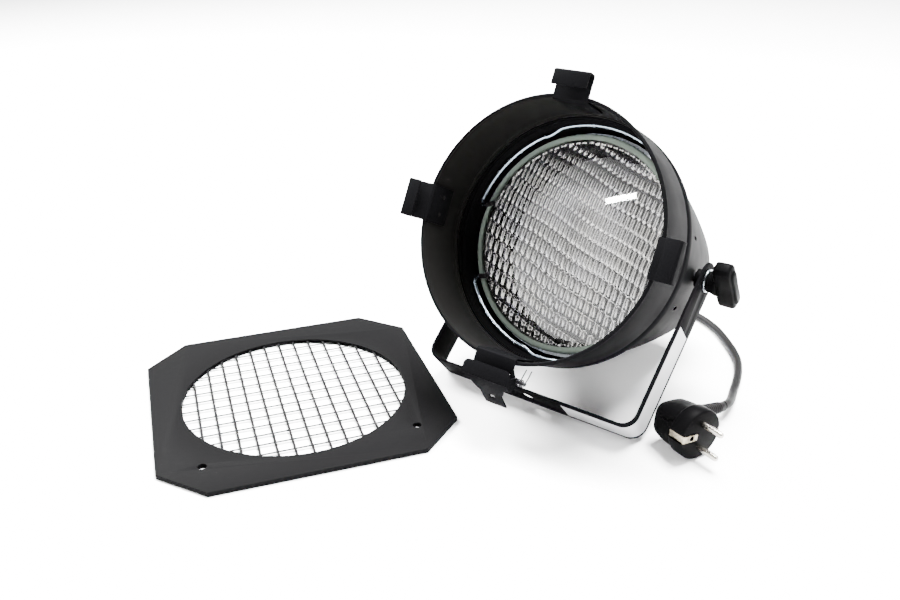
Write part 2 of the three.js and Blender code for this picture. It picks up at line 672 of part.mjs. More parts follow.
const foldPlace = clipFront;
const foldRadius = clipReach - 0.5;
const LEVER = [19, 29]; // how far the lever runs out and back from the fold
const leverLength = Math.hypot(...LEVER);
const lipTop = foldRadius - CLIP_LIP + 1;
const LIP_ROUND = 5; // of the lip's free corners
const lipOutline = [[foldRadius, -LATCH_WIDTH / 2], [foldRadius, LATCH_WIDTH / 2]];
for (const side of [1, -1]) {
  for (let i = 0; i <= 4; i += 1) {
    const angle = (Math.PI / 2) * (side > 0 ? i / 4 : 1 - i / 4);
    const across = LATCH_WIDTH / 2 - LIP_ROUND + LIP_ROUND * Math.cos(angle);
    lipOutline.push([lipTop + LIP_ROUND - LIP_ROUND * Math.sin(angle), side * across]);
  }
}
const lipPlate = plate(lipOutline, SHEET).rotateX(Math.PI / 2).translate(0, foldPlace + SHEET / 2, 0);
const leverOutline = [
  [-LATCH_WIDTH / 2, 0],
  [-LATCH_WIDTH / 2, 6],
  [-15, 9],
  [-12, 16],
  [-9.5, 19],
  [-9.5, leverLength],
  [9.5, leverLength],
  [9.5, 19],
  [12, 16],
  [15, 9],
  [LATCH_WIDTH / 2, 6],
  [LATCH_WIDTH / 2, 0],
];
const squareHole = new THREE.Path([[-2.5, 21], [-2.5, 26], [2.5, 26], [2.5, 21]]
  .map(([x, y]) => new THREE.Vector2(x, y)));
const lever = plate(leverOutline, SHEET, [squareHole]);
// The lever's own X runs across the latch and its Y runs from the fold to the tip.
lever.applyMatrix4(new THREE.Matrix4().makeBasis(
  new THREE.Vector3(0, 0, 1),
  new THREE.Vector3(LEVER[0], LEVER[1], 0).divideScalar(leverLength),
  new THREE.Vector3(-LEVER[1], LEVER[0], 0).divideScalar(leverLength),
));
lever.translate(foldRadius + 0.6, foldPlace - 0.6, 0);
const flapEar = [
  [foldRadius - 5, foldPlace - 0.4],
  [foldRadius, foldPlace - 0.4],
  [foldRadius + 4.5, foldPlace + 7],
  [pinRadius + 3.5, pinPlace + 2],
  [pinRadius - 2, pinPlace + 2.8],
  [pinRadius - 3, pinPlace - 1],
];
const flapEars = [-1, 1].map((side) => ear(flapEar, side * (LATCH_WIDTH / 2 - EAR / 2)));
add(latch, "latch_flap", join([lipPlate, lever, ...flapEars]), "blackSteel");

const pinHalf = LATCH_WIDTH / 2;
const pinShape = join([
  new THREE.CylinderGeometry(LATCH_PIN_RADIUS, LATCH_PIN_RADIUS, 2 * pinHalf + 9.5, 14)
    .rotateX(Math.PI / 2).translate(0, 0, 3),
  new THREE.CylinderGeometry(2.5, 2.5, 1.2, 14).rotateX(Math.PI / 2).translate(0, 0, -pinHalf - 1.2),
]);
add(latch, "latch_pin", pinShape.translate(pinRadius, pinPlace, 0), "springSteel");

const COIL = { radius: 2.4, wire: 0.45, turns: 3, pitch: 1.5 };
const coilStart = pinHalf + 1.2;
const coilPoints = [[pinRadius - 10, pinPlace + 7.5, coilStart], [pinRadius - 5, pinPlace + 5, coilStart]];
const coilSteps = 12 * COIL.turns;
for (let i = 0; i <= coilSteps; i += 1) {
  const angle = Math.PI * 0.5 + (2 * Math.PI * i) / 12;
  coilPoints.push([
    pinRadius + COIL.radius * Math.cos(angle),
    pinPlace + COIL.radius * Math.sin(angle),
    coilStart + (COIL.pitch * i) / 12,
  ]);
}
const coilEnd = coilStart + COIL.pitch * COIL.turns;
coilPoints.push([pinRadius - 4, pinPlace + 4.6, coilEnd + 0.2]);
coilPoints.push([pinRadius - 10, pinPlace + 7.2, coilEnd + 0.2]);
add(latch, "latch_spring", wire(coilPoints, COIL.wire, 50, 5), "springSteel");

// ---- yoke ------------------------------------------------------------------
const yoke = new THREE.Group(); // its Y runs from the pivot to the base
yoke.position.set(...pivotPlace);
yoke.rotation.x = Math.PI + YOKE_SWING;
group.add(yoke);
const [barThick, barWide] = YOKE_BAR;

/** The yoke's outline in XY, with rounded bends between the arms and the base. */
function yokeOutline() {
  const half = YOKE_HALF;
  const bendSteps = 6;
  const outer = [];
  const inner = [];
  for (const side of [1, -1]) {
    for (let i = 0; i <= bendSteps; i += 1) {
      const step = side > 0 ? i : bendSteps - i;
      const angle = (Math.PI / 2) * (step / bendSteps);
      const [c, s] = [Math.cos(angle), Math.sin(angle)];
      const centre = [side * (half - YOKE_BEND), YOKE_LENGTH - YOKE_BEND];
      const bend = YOKE_BEND - barThick;
      outer.push([centre[0] + side * YOKE_BEND * c, centre[1] + YOKE_BEND * s]);
      inner.push([centre[0] + side * bend * c, centre[1] + bend * s]);
    }
  }
  outer.unshift([half, 0]);
  outer.push([-half, 0]);
  inner.unshift([half - barThick, 0]);
  inner.push([-half + barThick, 0]);
  return [...outer, ...inner.reverse()];
}
/** The rounded top of one arm. */
function armEnd(side) {
  const cap = new THREE.CylinderGeometry(barWide / 2, barWide / 2, barThick, 32);
  return cap.rotateZ(Math.PI / 2).translate(side * (YOKE_HALF - barThick / 2), 0, 0);
}
const yokeBlank = join([
  plate(yokeOutline(), barWide).translate(0, 0, -barWide / 2),
  armEnd(1),
  armEnd(-1),
]);
const yokeTools = [-1, 1].map((side) => rod(-6, 6, boltHole, 20).translate(side * YOKE_HALF, 0, 0));
yokeTools.push(post(YOKE_LENGTH - 8, YOKE_LENGTH + 8, HANG_HOLE, 28));
add(yoke, "yoke", cut(yokeBlank, yokeTools), "blackSteel");

// ---- pivot: bolt, inside nut, spacer, washer and wing knob, on each side -----
const nearWall = housingRadius(PIVOT_PLACE + SPACER_RADIUS);
const farWall = housingRadius(PIVOT_PLACE - SPACER_RADIUS);
for (const [side, name] of [[1, "right"], [-1, "left"]]) {
  const pivot = new THREE.Group();
  pivot.position.set(...pivotPlace);
  pivot.rotation.x = -tilt;
  if (side < 0) pivot.rotation.y = Math.PI;
  group.add(pivot);
  const outside = YOKE_HALF;
  const spacerEnds = [farWall + GAP, outside - barThick - GAP];
  const spacer = cut(rod(...spacerEnds, SPACER_RADIUS, 24), [rod(40, outside, boltHole, 20)]);
  add(pivot, `pivot_spacer_${name}`, spacer, "blackPlastic");
  const nutOuter = Math.sqrt((nearWall - SHEET) ** 2 - 8 ** 2) - 1.4;
  const nut = cut(rod(nutOuter - 5, nutOuter, 7.4, 6), [rod(nutOuter - 9, nutOuter + 4, boltHole, 20)]);
  add(pivot, `pivot_nut_${name}`, nut, "zinc");
  const washerBore = rod(outside - 4, outside + 6, boltHole, 20);
  const washer = cut(rod(outside + GAP, outside + GAP + 1.2, 9.5, 28), [washerBore]);
  add(pivot, `pivot_washer_${name}`, washer, "zinc");
  const hubFront = outside + 2 * GAP + 1.2;
  const hubLength = 8;
  const hub = new THREE.CylinderGeometry(10.5, 8.5, hubLength, 20).rotateZ(-Math.PI / 2)
    .translate(hubFront + hubLength / 2, 0, 0);
  const wingFront = hubFront + hubLength - 1;
  const [deep, thick, long] = KNOB_WING;
  const wing = plate([
    [-long / 2 + 3, -thick / 2],
    [long / 2 - 3, -thick / 2],
    [long / 2, -thick / 2 + 3],
    [long / 2, thick / 2 - 3],
    [long / 2 - 3, thick / 2],
    [-long / 2 + 3, thick / 2],
    [-long / 2, thick / 2 - 3],
    [-long / 2, -thick / 2 + 3],
  ], deep);
  // The wing's length runs up and forwards, its thickness fore and aft, its depth outwards.
  wing.rotateZ(Math.PI / 2).rotateY(Math.PI / 2);
  wing.rotateX(-side * rad(KNOB_TURN)).translate(wingFront, 0, 0);
  const boltEnd = wingFront + 4;
  const knobSolid = cut(join([hub, wing]), [rod(hubFront - 2, boltEnd + GAP, BOLT_RADIUS + GAP, 20)]);
  add(pivot, `tilt_knob_${name}`, knobSolid, "blackPlastic");
  add(pivot, `tilt_bolt_${name}`, rod(nutOuter - 8, boltEnd, BOLT_RADIUS, 20), "zinc");
}

// ---- filter frame: tray, backing plate and a wire grille between them --------
const filter = new THREE.Group();
// The yoke's near corner, at the height of the frame, lies a clearance off the frame's side.
const baseRise = (FRAME_THICKNESS - PIVOT_HEIGHT + YOKE_LENGTH * Math.sin(YOKE_SWING)) / Math.cos(YOKE_SWING);
const yokeCorner = [
  CAN_POSITION[0] - YOKE_HALF,
  CAN_POSITION[1] - YOKE_LENGTH * Math.cos(YOKE_SWING) - baseRise * Math.sin(YOKE_SWING),
];
const frameReach = FRAME_SIDE / 2 + FRAME_CLEARANCE;
filter.position.set(
  yokeCorner[0] - frameReach * Math.cos(rad(FRAME_TURN)) - FRAME_SLIDE * Math.sin(rad(FRAME_TURN)),
  yokeCorner[1] - frameReach * Math.sin(rad(FRAME_TURN)) + FRAME_SLIDE * Math.cos(rad(FRAME_TURN)),
  0,
);
filter.rotation.z = rad(FRAME_TURN);
group.add(filter);

/** A square with cut corners, smaller by an inset all round. */
function cornerCutSquare(inset) {
  const h = FRAME_SIDE / 2 - inset;
  const c = FRAME_SIDE / 2 - FRAME_CORNER - inset * Math.tan(Math.PI / 8);
  return [[h, -c], [h, c], [c, h], [-c, h], [-h, c], [-h, -c], [-c, -h], [c, -h]];
}
/** The opening and the two hanging holes of a plate. */
function frameHoles() {
  const place = FRAME_SIDE / 2 - FRAME_HOLE_INSET;
  const corners = [-1, 1].map((side) => roundHole(side * place, -place, FRAME_HOLE, 16));
  return [roundHole(0, 0, FRAME_OPENING, 60), ...corners];
}
const frontPlate = plate(cornerCutSquare(0), SHEET, frameHoles()).translate(0, 0, FRAME_THICKNESS - SHEET);
const skirtInside = new THREE.Path(cornerCutSquare(SHEET).reverse().map(([x, y]) => new THREE.Vector2(x, y)));
const skirt = plate(cornerCutSquare(0), FRAME_THICKNESS - 0.5, [skirtInside]);
add(filter, "filter_frame_tray", join([frontPlate, skirt]), "blackSteel");
const backPlate = plate(cornerCutSquare(SHEET + GAP), 1, frameHoles());
add(filter, "filter_frame_back", backPlate, "blackSteel");

/** Blocks that cut the holes between the grille's bars, kept inside its rim. */
function grilleCutters() {
  const blocks = [];
  const open = MESH_PITCH - MESH_BAR;
  const count = Math.ceil(FRAME_OPENING / MESH_PITCH);
  for (let i = -count; i < count; i += 1) {
    for (let j = -count; j < count; j += 1) {
      const [x, y] = [(i + 0.5) * MESH_PITCH, (j + 0.5) * MESH_PITCH];
      const far = Math.hypot(Math.abs(x) + open / 2, Math.abs(y) + open / 2);
      if (far < FRAME_OPENING + 1.5) {
        blocks.push(new THREE.BoxGeometry(open, open, 4 * MESH_THICKNESS).translate(x, y, 0));
      }
    }
  }
  return blocks;
}
const grilleDisc = new THREE.CylinderGeometry(FRAME_OPENING + 4, FRAME_OPENING + 4, MESH_THICKNESS, 36);
const grille = cut(grilleDisc.rotateX(Math.PI / 2), grilleCutters());
add(filter, "filter_grille", grille.translate(0, 0, 1 + GAP + MESH_THICKNESS / 2), "zinc");

// ---- plug: X is where its pins point, Y is the side that the cord leaves ------
const plug = new THREE.Group();
plug.position.set(
  CAN_POSITION[0] + YOKE_HALF + PLUG_FROM_YOKE,
  CAN_POSITION[1] + PLUG_AHEAD,
  PLUG_HEIGHT,
);
plug.rotation.order = "ZYX";
plug.rotation.set(-rad(PLUG_ROLL), 0, rad(PLUG_TURN));
group.add(plug);

/** One section of the plug's body: round at the face, boxier towards the rear. */
function plugRing(x, halfY, halfZ, squareness) {
  const ring = [];
  for (let i = 0; i < 24; i += 1) {
    const angle = (2 * Math.PI * (i + 0.5)) / 24;
    const [c, s] = [Math.cos(angle), Math.sin(angle)];
    const swell = 1 / (Math.abs(c) ** squareness + Math.abs(s) ** squareness) ** (1 / squareness);
    ring.push([x, halfY * swell * c, halfZ * swell * s]);
  }
  return ring;
}
const plugBlank = lofted([
  plugRing(0, PLUG_RADIUS - 0.6, PLUG_RADIUS - 0.6, 2),
  plugRing(-0.8, PLUG_RADIUS, PLUG_RADIUS, 2),
  plugRing(-12, PLUG_RADIUS, PLUG_RADIUS, 2),
  plugRing(-14, PLUG_RADIUS - 1.5, PLUG_RADIUS - 2.5, 2.4),
  plugRing(-PLUG_DEPTH + 4, 14.5, 13.5, 4),
  plugRing(-PLUG_DEPTH, 11.5, 10.5, 4),
]);
const COLLAR = [15, 14]; // along X and Z
const COLLAR_END = PLUG_RADIUS + 3;
/** A section of the outlet's collar at a distance along Y. */
function collarRing(y, x, z) {
  const ring = plugRing(0, x / 2, z / 2, 4);
  return ring.map(([, u, v]) => [u - PLUG_OUTLET, y, v]);
}
const collar = lofted([
  collarRing(4, COLLAR[0], COLLAR[1] + 4),
  collarRing(COLLAR_END - 3, COLLAR[0], COLLAR[1]),
  collarRing(COLLAR_END, COLLAR[0] - 2, COLLAR[1] - 2),
]);
const NOTCH = [16, 2.6, 6.4]; // recess of an earth strip: length, depth, width
const plugTools = [-1, 1].map((side) => new THREE.BoxGeometry(NOTCH[0], 6, NOTCH[2])
  .translate(1 - NOTCH[0] / 2, side * (PLUG_RADIUS - NOTCH[1] + 3), 0));
const earthHole = new THREE.CylinderGeometry(2.5, 2.5, 24, 16).rotateZ(Math.PI / 2);
plugTools.push(earthHole.translate(0, -PLUG_RADIUS / 2, 0));
add(plug, "plug_body", cut(join([plugBlank, collar]), plugTools), "blackPlastic");

for (const [side, name] of [[1, "upper"], [-1, "lower"]]) {
  const pin = turned([
    [0, GAP],
    [PIN_RADIUS, GAP],
    [PIN_RADIUS, PIN_LENGTH - 1.6],
    [PIN_RADIUS * 0.7, PIN_LENGTH - 0.4],
    [0, PIN_LENGTH],
  ], 16);
  pin.rotateZ(-Math.PI / 2);
  add(plug, `plug_pin_${name}`, pin.translate(0, 0, (side * PIN_SPACING) / 2), "nickel");
}
const stripPlace = PLUG_RADIUS - NOTCH[1] + GAP + 0.4;
const EARTH_SHEET = 0.8;
/** An earth strip along the plug's side; the outer one also folds over the face. */
function earthStrip(folded) {
  const path = [[1 - NOTCH[0] + 1.5, stripPlace], [0.2, stripPlace]];
  if (folded) {
    path[1] = [GAP + 0.1, stripPlace];
    path.push([GAP + 0.5, stripPlace - 0.6], [GAP + 0.5, PLUG_RADIUS / 2 - 5.5]);
  }
  const strip = bentStrip(path, EARTH_SHEET, NOTCH[2] - 1);
  if (!folded) return strip;
  return cut(strip, [rod(-4, 6, 2.2, 16).translate(0, PLUG_RADIUS / 2, 0)]);
}
add(plug, "plug_earth_cord_side", earthStrip(false), "nickel");
add(plug, "plug_earth_face_side", earthStrip(true).rotateX(Math.PI), "nickel");

// The strain relief: a ribbed, tapered sleeve between the collar and the cord.
const RELIEF = { length: 30, start: 6, end: CORD_RADIUS + 1.1, ribs: 5, groove: 0.9 };
const reliefOutline = [[0, 0], [RELIEF.start, 0]];
for (let i = 0; i < RELIEF.ribs; i += 1) {
  const place = RELIEF.length * (0.1 + (0.8 * i) / RELIEF.ribs);
  const radius = RELIEF.start + ((RELIEF.end - RELIEF.start) * place) / RELIEF.length;
  const step = (RELIEF.length * 0.8) / RELIEF.ribs;
  reliefOutline.push([radius, place], [radius - RELIEF.groove, place + step * 0.15]);
  reliefOutline.push([radius - RELIEF.groove, place + step * 0.5], [radius - 0.2, place + step * 0.6]);
}
reliefOutline.push([RELIEF.end, RELIEF.length * 0.93], [RELIEF.end - 0.4, RELIEF.length], [0, RELIEF.length]);
const relief = turned(reliefOutline, 12).translate(-PLUG_OUTLET, COLLAR_END + GAP, 0);
add(plug, "cord_relief", relief, "rubber");

// ---- mains cord: from the gland to a round coil behind the can, then to the plug ------
const CORD_Z = CORD_RADIUS + GAP; // height of the cord's middle where it lies on the floor
const COIL_CENTRE = [53, 300];
const COIL_INNER = 33; // to the middle of the cord in the innermost turn
const COIL_OUTER = 52.8;
const cordStart = [
  [84.2, 226.96, 26.02],
  [84.2, 235.8, 21.3],
  [84.3, 246, 16.6],
  [84.6, 257, 12.8],
  [85.1, 268, 11.3],
];
add(group, "mains_cord_start", wire(cordStart, CORD_RADIUS, 6, 8), "rubber");
const coilRing = [
  [COIL_INNER - CORD_RADIUS, CORD_Z - CORD_RADIUS],
  [COIL_OUTER + CORD_RADIUS, CORD_Z - CORD_RADIUS],
  [COIL_OUTER + CORD_RADIUS, CORD_Z + CORD_RADIUS],
  [COIL_INNER - CORD_RADIUS, CORD_Z + CORD_RADIUS],
];
const coil = turned(coilRing, 32).rotateX(Math.PI / 2).translate(...COIL_CENTRE, 0);
add(group, "mains_cord_coil", coil, "rubber");
const cordRun = [
  [81.5, 247.3, CORD_Z],
  [97, 247.5, CORD_Z],
  [118, 246.3, CORD_Z],
  [138.2, 240.2, CORD_Z],
  [160.2, 227.8, CORD_Z],
  [182.2, 206.8, CORD_Z],
  [200.7, 183.8, CORD_Z],
  [210.7, 162.8, CORD_Z],
  [217.2, 141.8, CORD_Z],
  [220, 129.8, 4],
  [223.2, 118.8, 5.2],
  [226, 107.8, 7.5],
  [227.6, 97.8, 10.3],
  [227.2, 89.8, 12.4],
];
add(group, "mains_cord_run", wire(cordRun, CORD_RADIUS, 24, 8), "rubber");

export default group;
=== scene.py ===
"""A par can stage light with its filter frame laid beside it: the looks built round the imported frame."""

from __future__ import annotations

import json
import logging
import math
from dataclasses import dataclass
from enum import Enum
from typing import Any, Iterable, Sequence

import bmesh
import bpy
import numpy as np
from mathutils import Matrix, Vector

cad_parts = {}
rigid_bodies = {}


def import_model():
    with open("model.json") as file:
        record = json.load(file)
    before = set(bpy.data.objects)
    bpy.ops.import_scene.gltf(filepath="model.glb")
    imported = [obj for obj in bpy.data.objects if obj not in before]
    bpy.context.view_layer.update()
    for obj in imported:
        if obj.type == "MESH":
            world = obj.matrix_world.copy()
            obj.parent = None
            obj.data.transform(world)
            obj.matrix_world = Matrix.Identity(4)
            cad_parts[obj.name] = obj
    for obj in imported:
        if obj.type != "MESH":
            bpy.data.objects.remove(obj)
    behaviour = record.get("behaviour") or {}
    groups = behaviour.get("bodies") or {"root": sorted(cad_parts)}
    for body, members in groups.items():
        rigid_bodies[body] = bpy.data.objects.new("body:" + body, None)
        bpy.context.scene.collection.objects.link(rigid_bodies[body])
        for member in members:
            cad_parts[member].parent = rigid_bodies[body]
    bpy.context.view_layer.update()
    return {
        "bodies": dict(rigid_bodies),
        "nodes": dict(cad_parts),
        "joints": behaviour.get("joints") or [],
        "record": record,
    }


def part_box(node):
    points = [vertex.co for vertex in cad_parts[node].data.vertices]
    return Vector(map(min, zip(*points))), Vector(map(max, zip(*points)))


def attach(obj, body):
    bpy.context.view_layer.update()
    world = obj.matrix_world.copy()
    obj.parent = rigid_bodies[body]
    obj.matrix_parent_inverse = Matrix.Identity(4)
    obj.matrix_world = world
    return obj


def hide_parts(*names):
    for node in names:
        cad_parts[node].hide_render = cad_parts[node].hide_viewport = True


log = logging.getLogger("par_can")
MM = 0.001
SHARP = 35.0  # edges over this many degrees stay sharp, unless a piece says otherwise
FINE_GRAIN = 0.001  # under this grain, in metres, a finish has patches in proportion to its grain
PATCH_SHARE = 0.15  # patches to each length of fine grain
PLAIN_PATCHES = 45.0  # patches per metre of the coarser finishes
WELD_DISTANCE = 0.00002  # points closer than this, in metres, are one
FLAT = 1.5  # faces that meet within this many degrees are one
PIVOT_PLACE = 117.4  # from the can's rim back to its pivots, in millimetres
ARM_GAP = 9.9  # from the housing's side to the outside of the yoke's arm
PLUG_BESIDE, PLUG_AHEAD, PLUG_UP = 43, 90, 20.3  # the plug from the arm, from the pivots, from the floor
Row = tuple[float, float]
Point = tuple[float, float, float]


class Slot(Enum):
    """The record's material slots."""

    COAT = "black_coat"
    SPRING = "spring_steel"
    ZINC = "zinc_steel"
    WIRE = "black_wire"
    GLASS = "lamp_glass"
    SILVER = "silvered_glass"
    CERAMIC = "ceramic"
    NICKEL = "nickel"
    PLASTIC = "black_plastic"
    RUBBER = "black_rubber"


# ---- finishes ---------------------------------------------------------------


@dataclass(frozen=True)
class Finish:
    """A surface with its own grain, spread by object coordinates.

    Args:
        name: the material's name.
        colour: linear base colour.
        roughness: middle of the roughness range.
        spread: how far the roughness and colour wander, from 0 to 1.
        metallic: 1 for bare metal.
        grain: size of the surface grain in metres.
        bump: height of the grain in metres.
        transmission: 1 for clear glass.
        gloss: strength of the mirror-like part of a painted or moulded surface.
        tint: a second colour that the surface wanders to, if any.
    """

    name: str
    colour: Point
    roughness: float
    spread: float = 0.15
    metallic: float = 0.0
    grain: float = 0.0012
    bump: float = 0.00002
    transmission: float = 0.0
    gloss: float = 0.5
    tint: Point | None = None

    def build(self) -> bpy.types.Material:
        """Returns the material, made once."""
        if self.name in bpy.data.materials:
            return bpy.data.materials[self.name]
        mat = bpy.data.materials.new(self.name)
        mat.use_nodes = True
        tree = mat.node_tree
        shader = tree.nodes["Principled BSDF"]
        coords = tree.nodes.new("ShaderNodeTexCoord")
        fine = self._noise(tree, coords, 1.0 / self.grain, 4.0)
        patches = PATCH_SHARE / self.grain if self.grain < FINE_GRAIN else PLAIN_PATCHES
        wide = self._noise(tree, coords, patches, 3.0)
        rough = tree.nodes.new("ShaderNodeMapRange")
        rough.inputs["To Min"].default_value = max(self.roughness * (1 - self.spread), 0.0)
        rough.inputs["To Max"].default_value = min(self.roughness * (1 + self.spread), 1.0)
        tree.links.new(wide.outputs["Fac"], rough.inputs["Value"])
        tree.links.new(rough.outputs["Result"], shader.inputs["Roughness"])
        tint = tree.nodes.new("ShaderNodeMix")
        tint.data_type = "RGBA"
        low = [c * (1 - 0.5 * self.spread) for c in self.colour]
        high = self.tint or [min(c * (1 + 0.5 * self.spread), 1.0) for c in self.colour]
        tint.inputs["A"].default_value = (*low, 1)
        tint.inputs["B"].default_value = (*high, 1)
        tree.links.new(wide.outputs["Fac"], tint.inputs["Factor"])
        tree.links.new(tint.outputs["Result"], shader.inputs["Base Color"])
        shader.inputs["Metallic"].default_value = self.metallic
        shader.inputs["Transmission Weight"].default_value = self.transmission
        shader.inputs["Specular IOR Level"].default_value = self.gloss
        shader.inputs["IOR"].default_value = 1.5
        if self.bump:
            bump = tree.nodes.new("ShaderNodeBump")
            bump.inputs["Strength"].default_value = 0.6
            bump.inputs["Distance"].default_value = self.bump
            tree.links.new(fine.outputs["Fac"], bump.inputs["Height"])
            tree.links.new(bump.outputs["Normal"], shader.inputs["Normal"])
        return mat

    @staticmethod
    def _noise(
        tree: bpy.types.NodeTree, coords: bpy.types.Node, scale: float, detail: float
    ) -> bpy.types.Node:
        """Adds noise over the object coordinates.

        Args:
            tree: the material's tree.
            coords: its texture coordinate node.
            scale: cycles per metre.
            detail: octaves.

        Returns:
            The noise node.
        """
        noise = tree.nodes.new("ShaderNodeTexNoise")
        noise.inputs["Scale"].default_value = scale
        noise.inputs["Detail"].default_value = detail
        tree.links.new(coords.outputs["Object"], noise.inputs["Vector"])
        return noise


COAT = Finish("satin_black_coat", (0.0016, 0.0016, 0.0018), 0.5, bump=0.00003, gloss=0.002)
COAT_INSIDE = Finish("satin_black_inside", (0.0032, 0.0031, 0.0030), 0.5, bump=0.00003, gloss=0.012)
COAT_FRAME = Finish(
    "grey_black_powder", (0.0022, 0.0022, 0.0023), 0.5, grain=0.0008, bump=0.00004, gloss=0.004
)
SPRING = Finish("spring_steel_black", (0.012, 0.012, 0.013), 0.34, metallic=1.0, grain=0.0006)
ZINC = Finish("zinc_plate", (0.26, 0.28, 0.3), 0.28, 0.2, metallic=1.0, grain=0.0007)
RING_WIRE = Finish("ring_wire_zinc", (0.2, 0.24, 0.28), 0.26, 0.2, metallic=1.0, grain=0.0007)
MESH_WIRE = Finish("grille_wire_black", (0.003, 0.003, 0.0032), 0.5, grain=0.0006, gloss=0.02)
GLASS = Finish("pressed_glass", (0.93, 0.965, 0.94), 0.015, 0.3, bump=0.0, transmission=1.0)
FLUTES = Finish(
    "pressed_glass_flutes", (0.7, 0.69, 0.78), 0.03, 0.3,
    metallic=0.62, bump=0.0, transmission=1.0, tint=(0.72, 0.69, 0.6),
)
RIM_GLASS = Finish("pressed_glass_rim", (0.115, 0.14, 0.118), 0.12, 0.2, bump=0.0)
SILVER = Finish("silvered_bowl", (0.6, 0.59, 0.63), 0.08, 0.3, metallic=1.0, grain=0.004, bump=0.00006)
CERAMIC = Finish("steatite", (0.4, 0.38, 0.32), 0.55, bump=0.00003)
# Nickel earth strips darkened to a brass-like tone: the darkening is painted shade for their recesses in the
# plug.
EARTH_STRIP_PAINTED_SHADE = Finish("earth_strip_brass", (0.17, 0.15, 0.11), 0.28, 0.25, metallic=1.0, grain=0.0006)
NICKEL = Finish("nickel_plate", (0.4, 0.38, 0.34), 0.24, 0.25, metallic=1.0, grain=0.0006)
TUNGSTEN = Finish("tungsten", (0.2, 0.19, 0.18), 0.4, metallic=1.0)
PLASTIC = Finish(
    "moulded_black", (0.0011, 0.0011, 0.0012), 0.44, grain=0.0007, bump=0.00004, gloss=0.006
)
RUBBER = Finish("cord_rubber", (0.004, 0.0038, 0.004), 0.5, grain=0.0009, bump=0.00003, gloss=0.04)
LABEL = Finish("label_paper", (0.3, 0.3, 0.31), 0.33, 0.2, grain=0.0009, bump=0.00001)
FLOOR = Finish("seamless_white", (0.95, 0.95, 0.95), 0.8, 0.0, bump=0.0, gloss=0.0)


# ---- building tools ----------------------------------------------------------


def link(name: str, mesh: bpy.types.Mesh) -> bpy.types.Object:
    """Puts a mesh in the scene under a name and returns its object."""
    obj = bpy.data.objects.new(name, mesh)
    bpy.context.scene.collection.objects.link(obj)
    return obj


def tidy(mesh: bpy.types.Mesh, sharp: float = SHARP) -> None:
    """Turns faces outwards and smooths the surface except across sharp edges.

    Args:
        mesh: the mesh, changed in place.
        sharp: edges over this many degrees stay sharp.
    """
    bm = bmesh.new()
    bm.from_mesh(mesh)
    bmesh.ops.recalc_face_normals(bm, faces=bm.faces)
    bm.to_mesh(mesh)
    bm.free()
    mesh.shade_smooth()
    mesh.set_sharp_from_angle(angle=math.radians(sharp))


def solid(
    name: str, verts: Iterable, faces: Iterable, place: Matrix, finish: Finish, sharp: float = SHARP
) -> bpy.types.Object:
    """Makes a closed mesh object.

    Args:
        name: the object's name.
        verts: points in the piece's own millimetres.
        faces: corner lists.
        place: matrix from those millimetres to the part's frame in metres.
        finish: its surface.
        sharp: edges over this many degrees stay sharp.

    Returns:
        The object, at the origin.
    """
    mesh = bpy.data.meshes.new(name)
    mesh.from_pydata([place @ Vector(v) for v in verts], [], [list(f) for f in faces])
    mesh.materials.append(finish.build())
    tidy(mesh, sharp)
    return link(name, mesh)


def rings(
    name: str, loops: Sequence[Sequence], place: Matrix, finish: Finish, sharp: float = SHARP
) -> bpy.types.Object:
    """Skins over rings of points and closes both ends.

    Args:
        name: the object's name.
        loops: rings of equally many points in the piece's own millimetres.
        place: matrix from those millimetres to the part's frame in metres.
        finish: its surface.
        sharp: edges over this many degrees stay sharp.

    Returns:
        The object, at the origin.
    """
    count = len(loops[0])
    last = (len(loops) - 1) * count
    verts = [p for loop in loops for p in loop]
    faces = []
    for a in range(0, last, count):
        b = a + count
        faces += [(a + i, a + (i + 1) % count, b + (i + 1) % count, b + i) for i in range(count)]
    faces += [tuple(range(count))[::-1], tuple(range(last, last + count))]
    return solid(name, verts, faces, place, finish, sharp)


def lathe(
    name: str, outline: Sequence[Row], sides: int, place: Matrix, finish: Finish, sharp: float = SHARP
) -> bpy.types.Object:
    """Revolves a closed outline about the piece's Y axis.

    Args:
        name: the object's name.
        outline: points of (radius, place along the axis) in millimetres.
        sides: steps round the axis.
        place: matrix from those millimetres to the part's frame in metres.
        finish: its surface.
        sharp: edges over this many degrees stay sharp.

    Returns:
        The object, at the origin. An outline that starts and ends on the axis is closed by it.
    """
    verts, faces, rows = [], [], []
    turns = [(math.cos(math.tau * i / sides), math.sin(math.tau * i / sides)) for i in range(sides)]
    for r, s in outline:
        start = len(verts)
        if r < 1e-6:
            verts.append((0.0, s, 0.0))
        else:
            verts += [(r * c, s, r * d) for c, d in turns]
        rows.append(range(start, len(verts)))
    open_ends = len(rows[0]) == 1 and len(rows[-1]) == 1
    for k in range(len(rows) - (1 if open_ends else 0)):
        a, b = rows[k], rows[(k + 1) % len(rows)]
        if len(a) == 1 and len(b) == 1:
            continue
        for i in range(sides):
            j = (i + 1) % sides
            if len(a) == 1:
                faces.append((a[0], b[j], b[i]))
            elif len(b) == 1:
                faces.append((a[i], a[j], b[0]))
            else:
                faces.append((a[i], a[j], b[j], b[i]))
    return solid(name, verts, faces, place, finish, sharp)


def block(name: str, size: Point, middle: Point, place: Matrix, finish: Finish) -> bpy.types.Object:
    """Makes a plain box.

    Args:
        name: the object's name.
        size: its sides in millimetres.
        middle: its middle.
        place: matrix from those millimetres to the part's frame in metres.
        finish: its surface.

    Returns:
        The object, at the origin.
    """
    signs = [(a, b, c) for a in (-1, 1) for b in (-1, 1) for c in (-1, 1)]
    verts = [[m + g * s / 2 for m, g, s in zip(middle, sign, size)] for sign in signs]
    faces = [(0, 1, 3, 2), (4, 6, 7, 5), (0, 4, 5, 1), (2, 3, 7, 6), (0, 2, 6, 4), (1, 5, 7, 3)]
    return solid(name, verts, faces, place, finish)


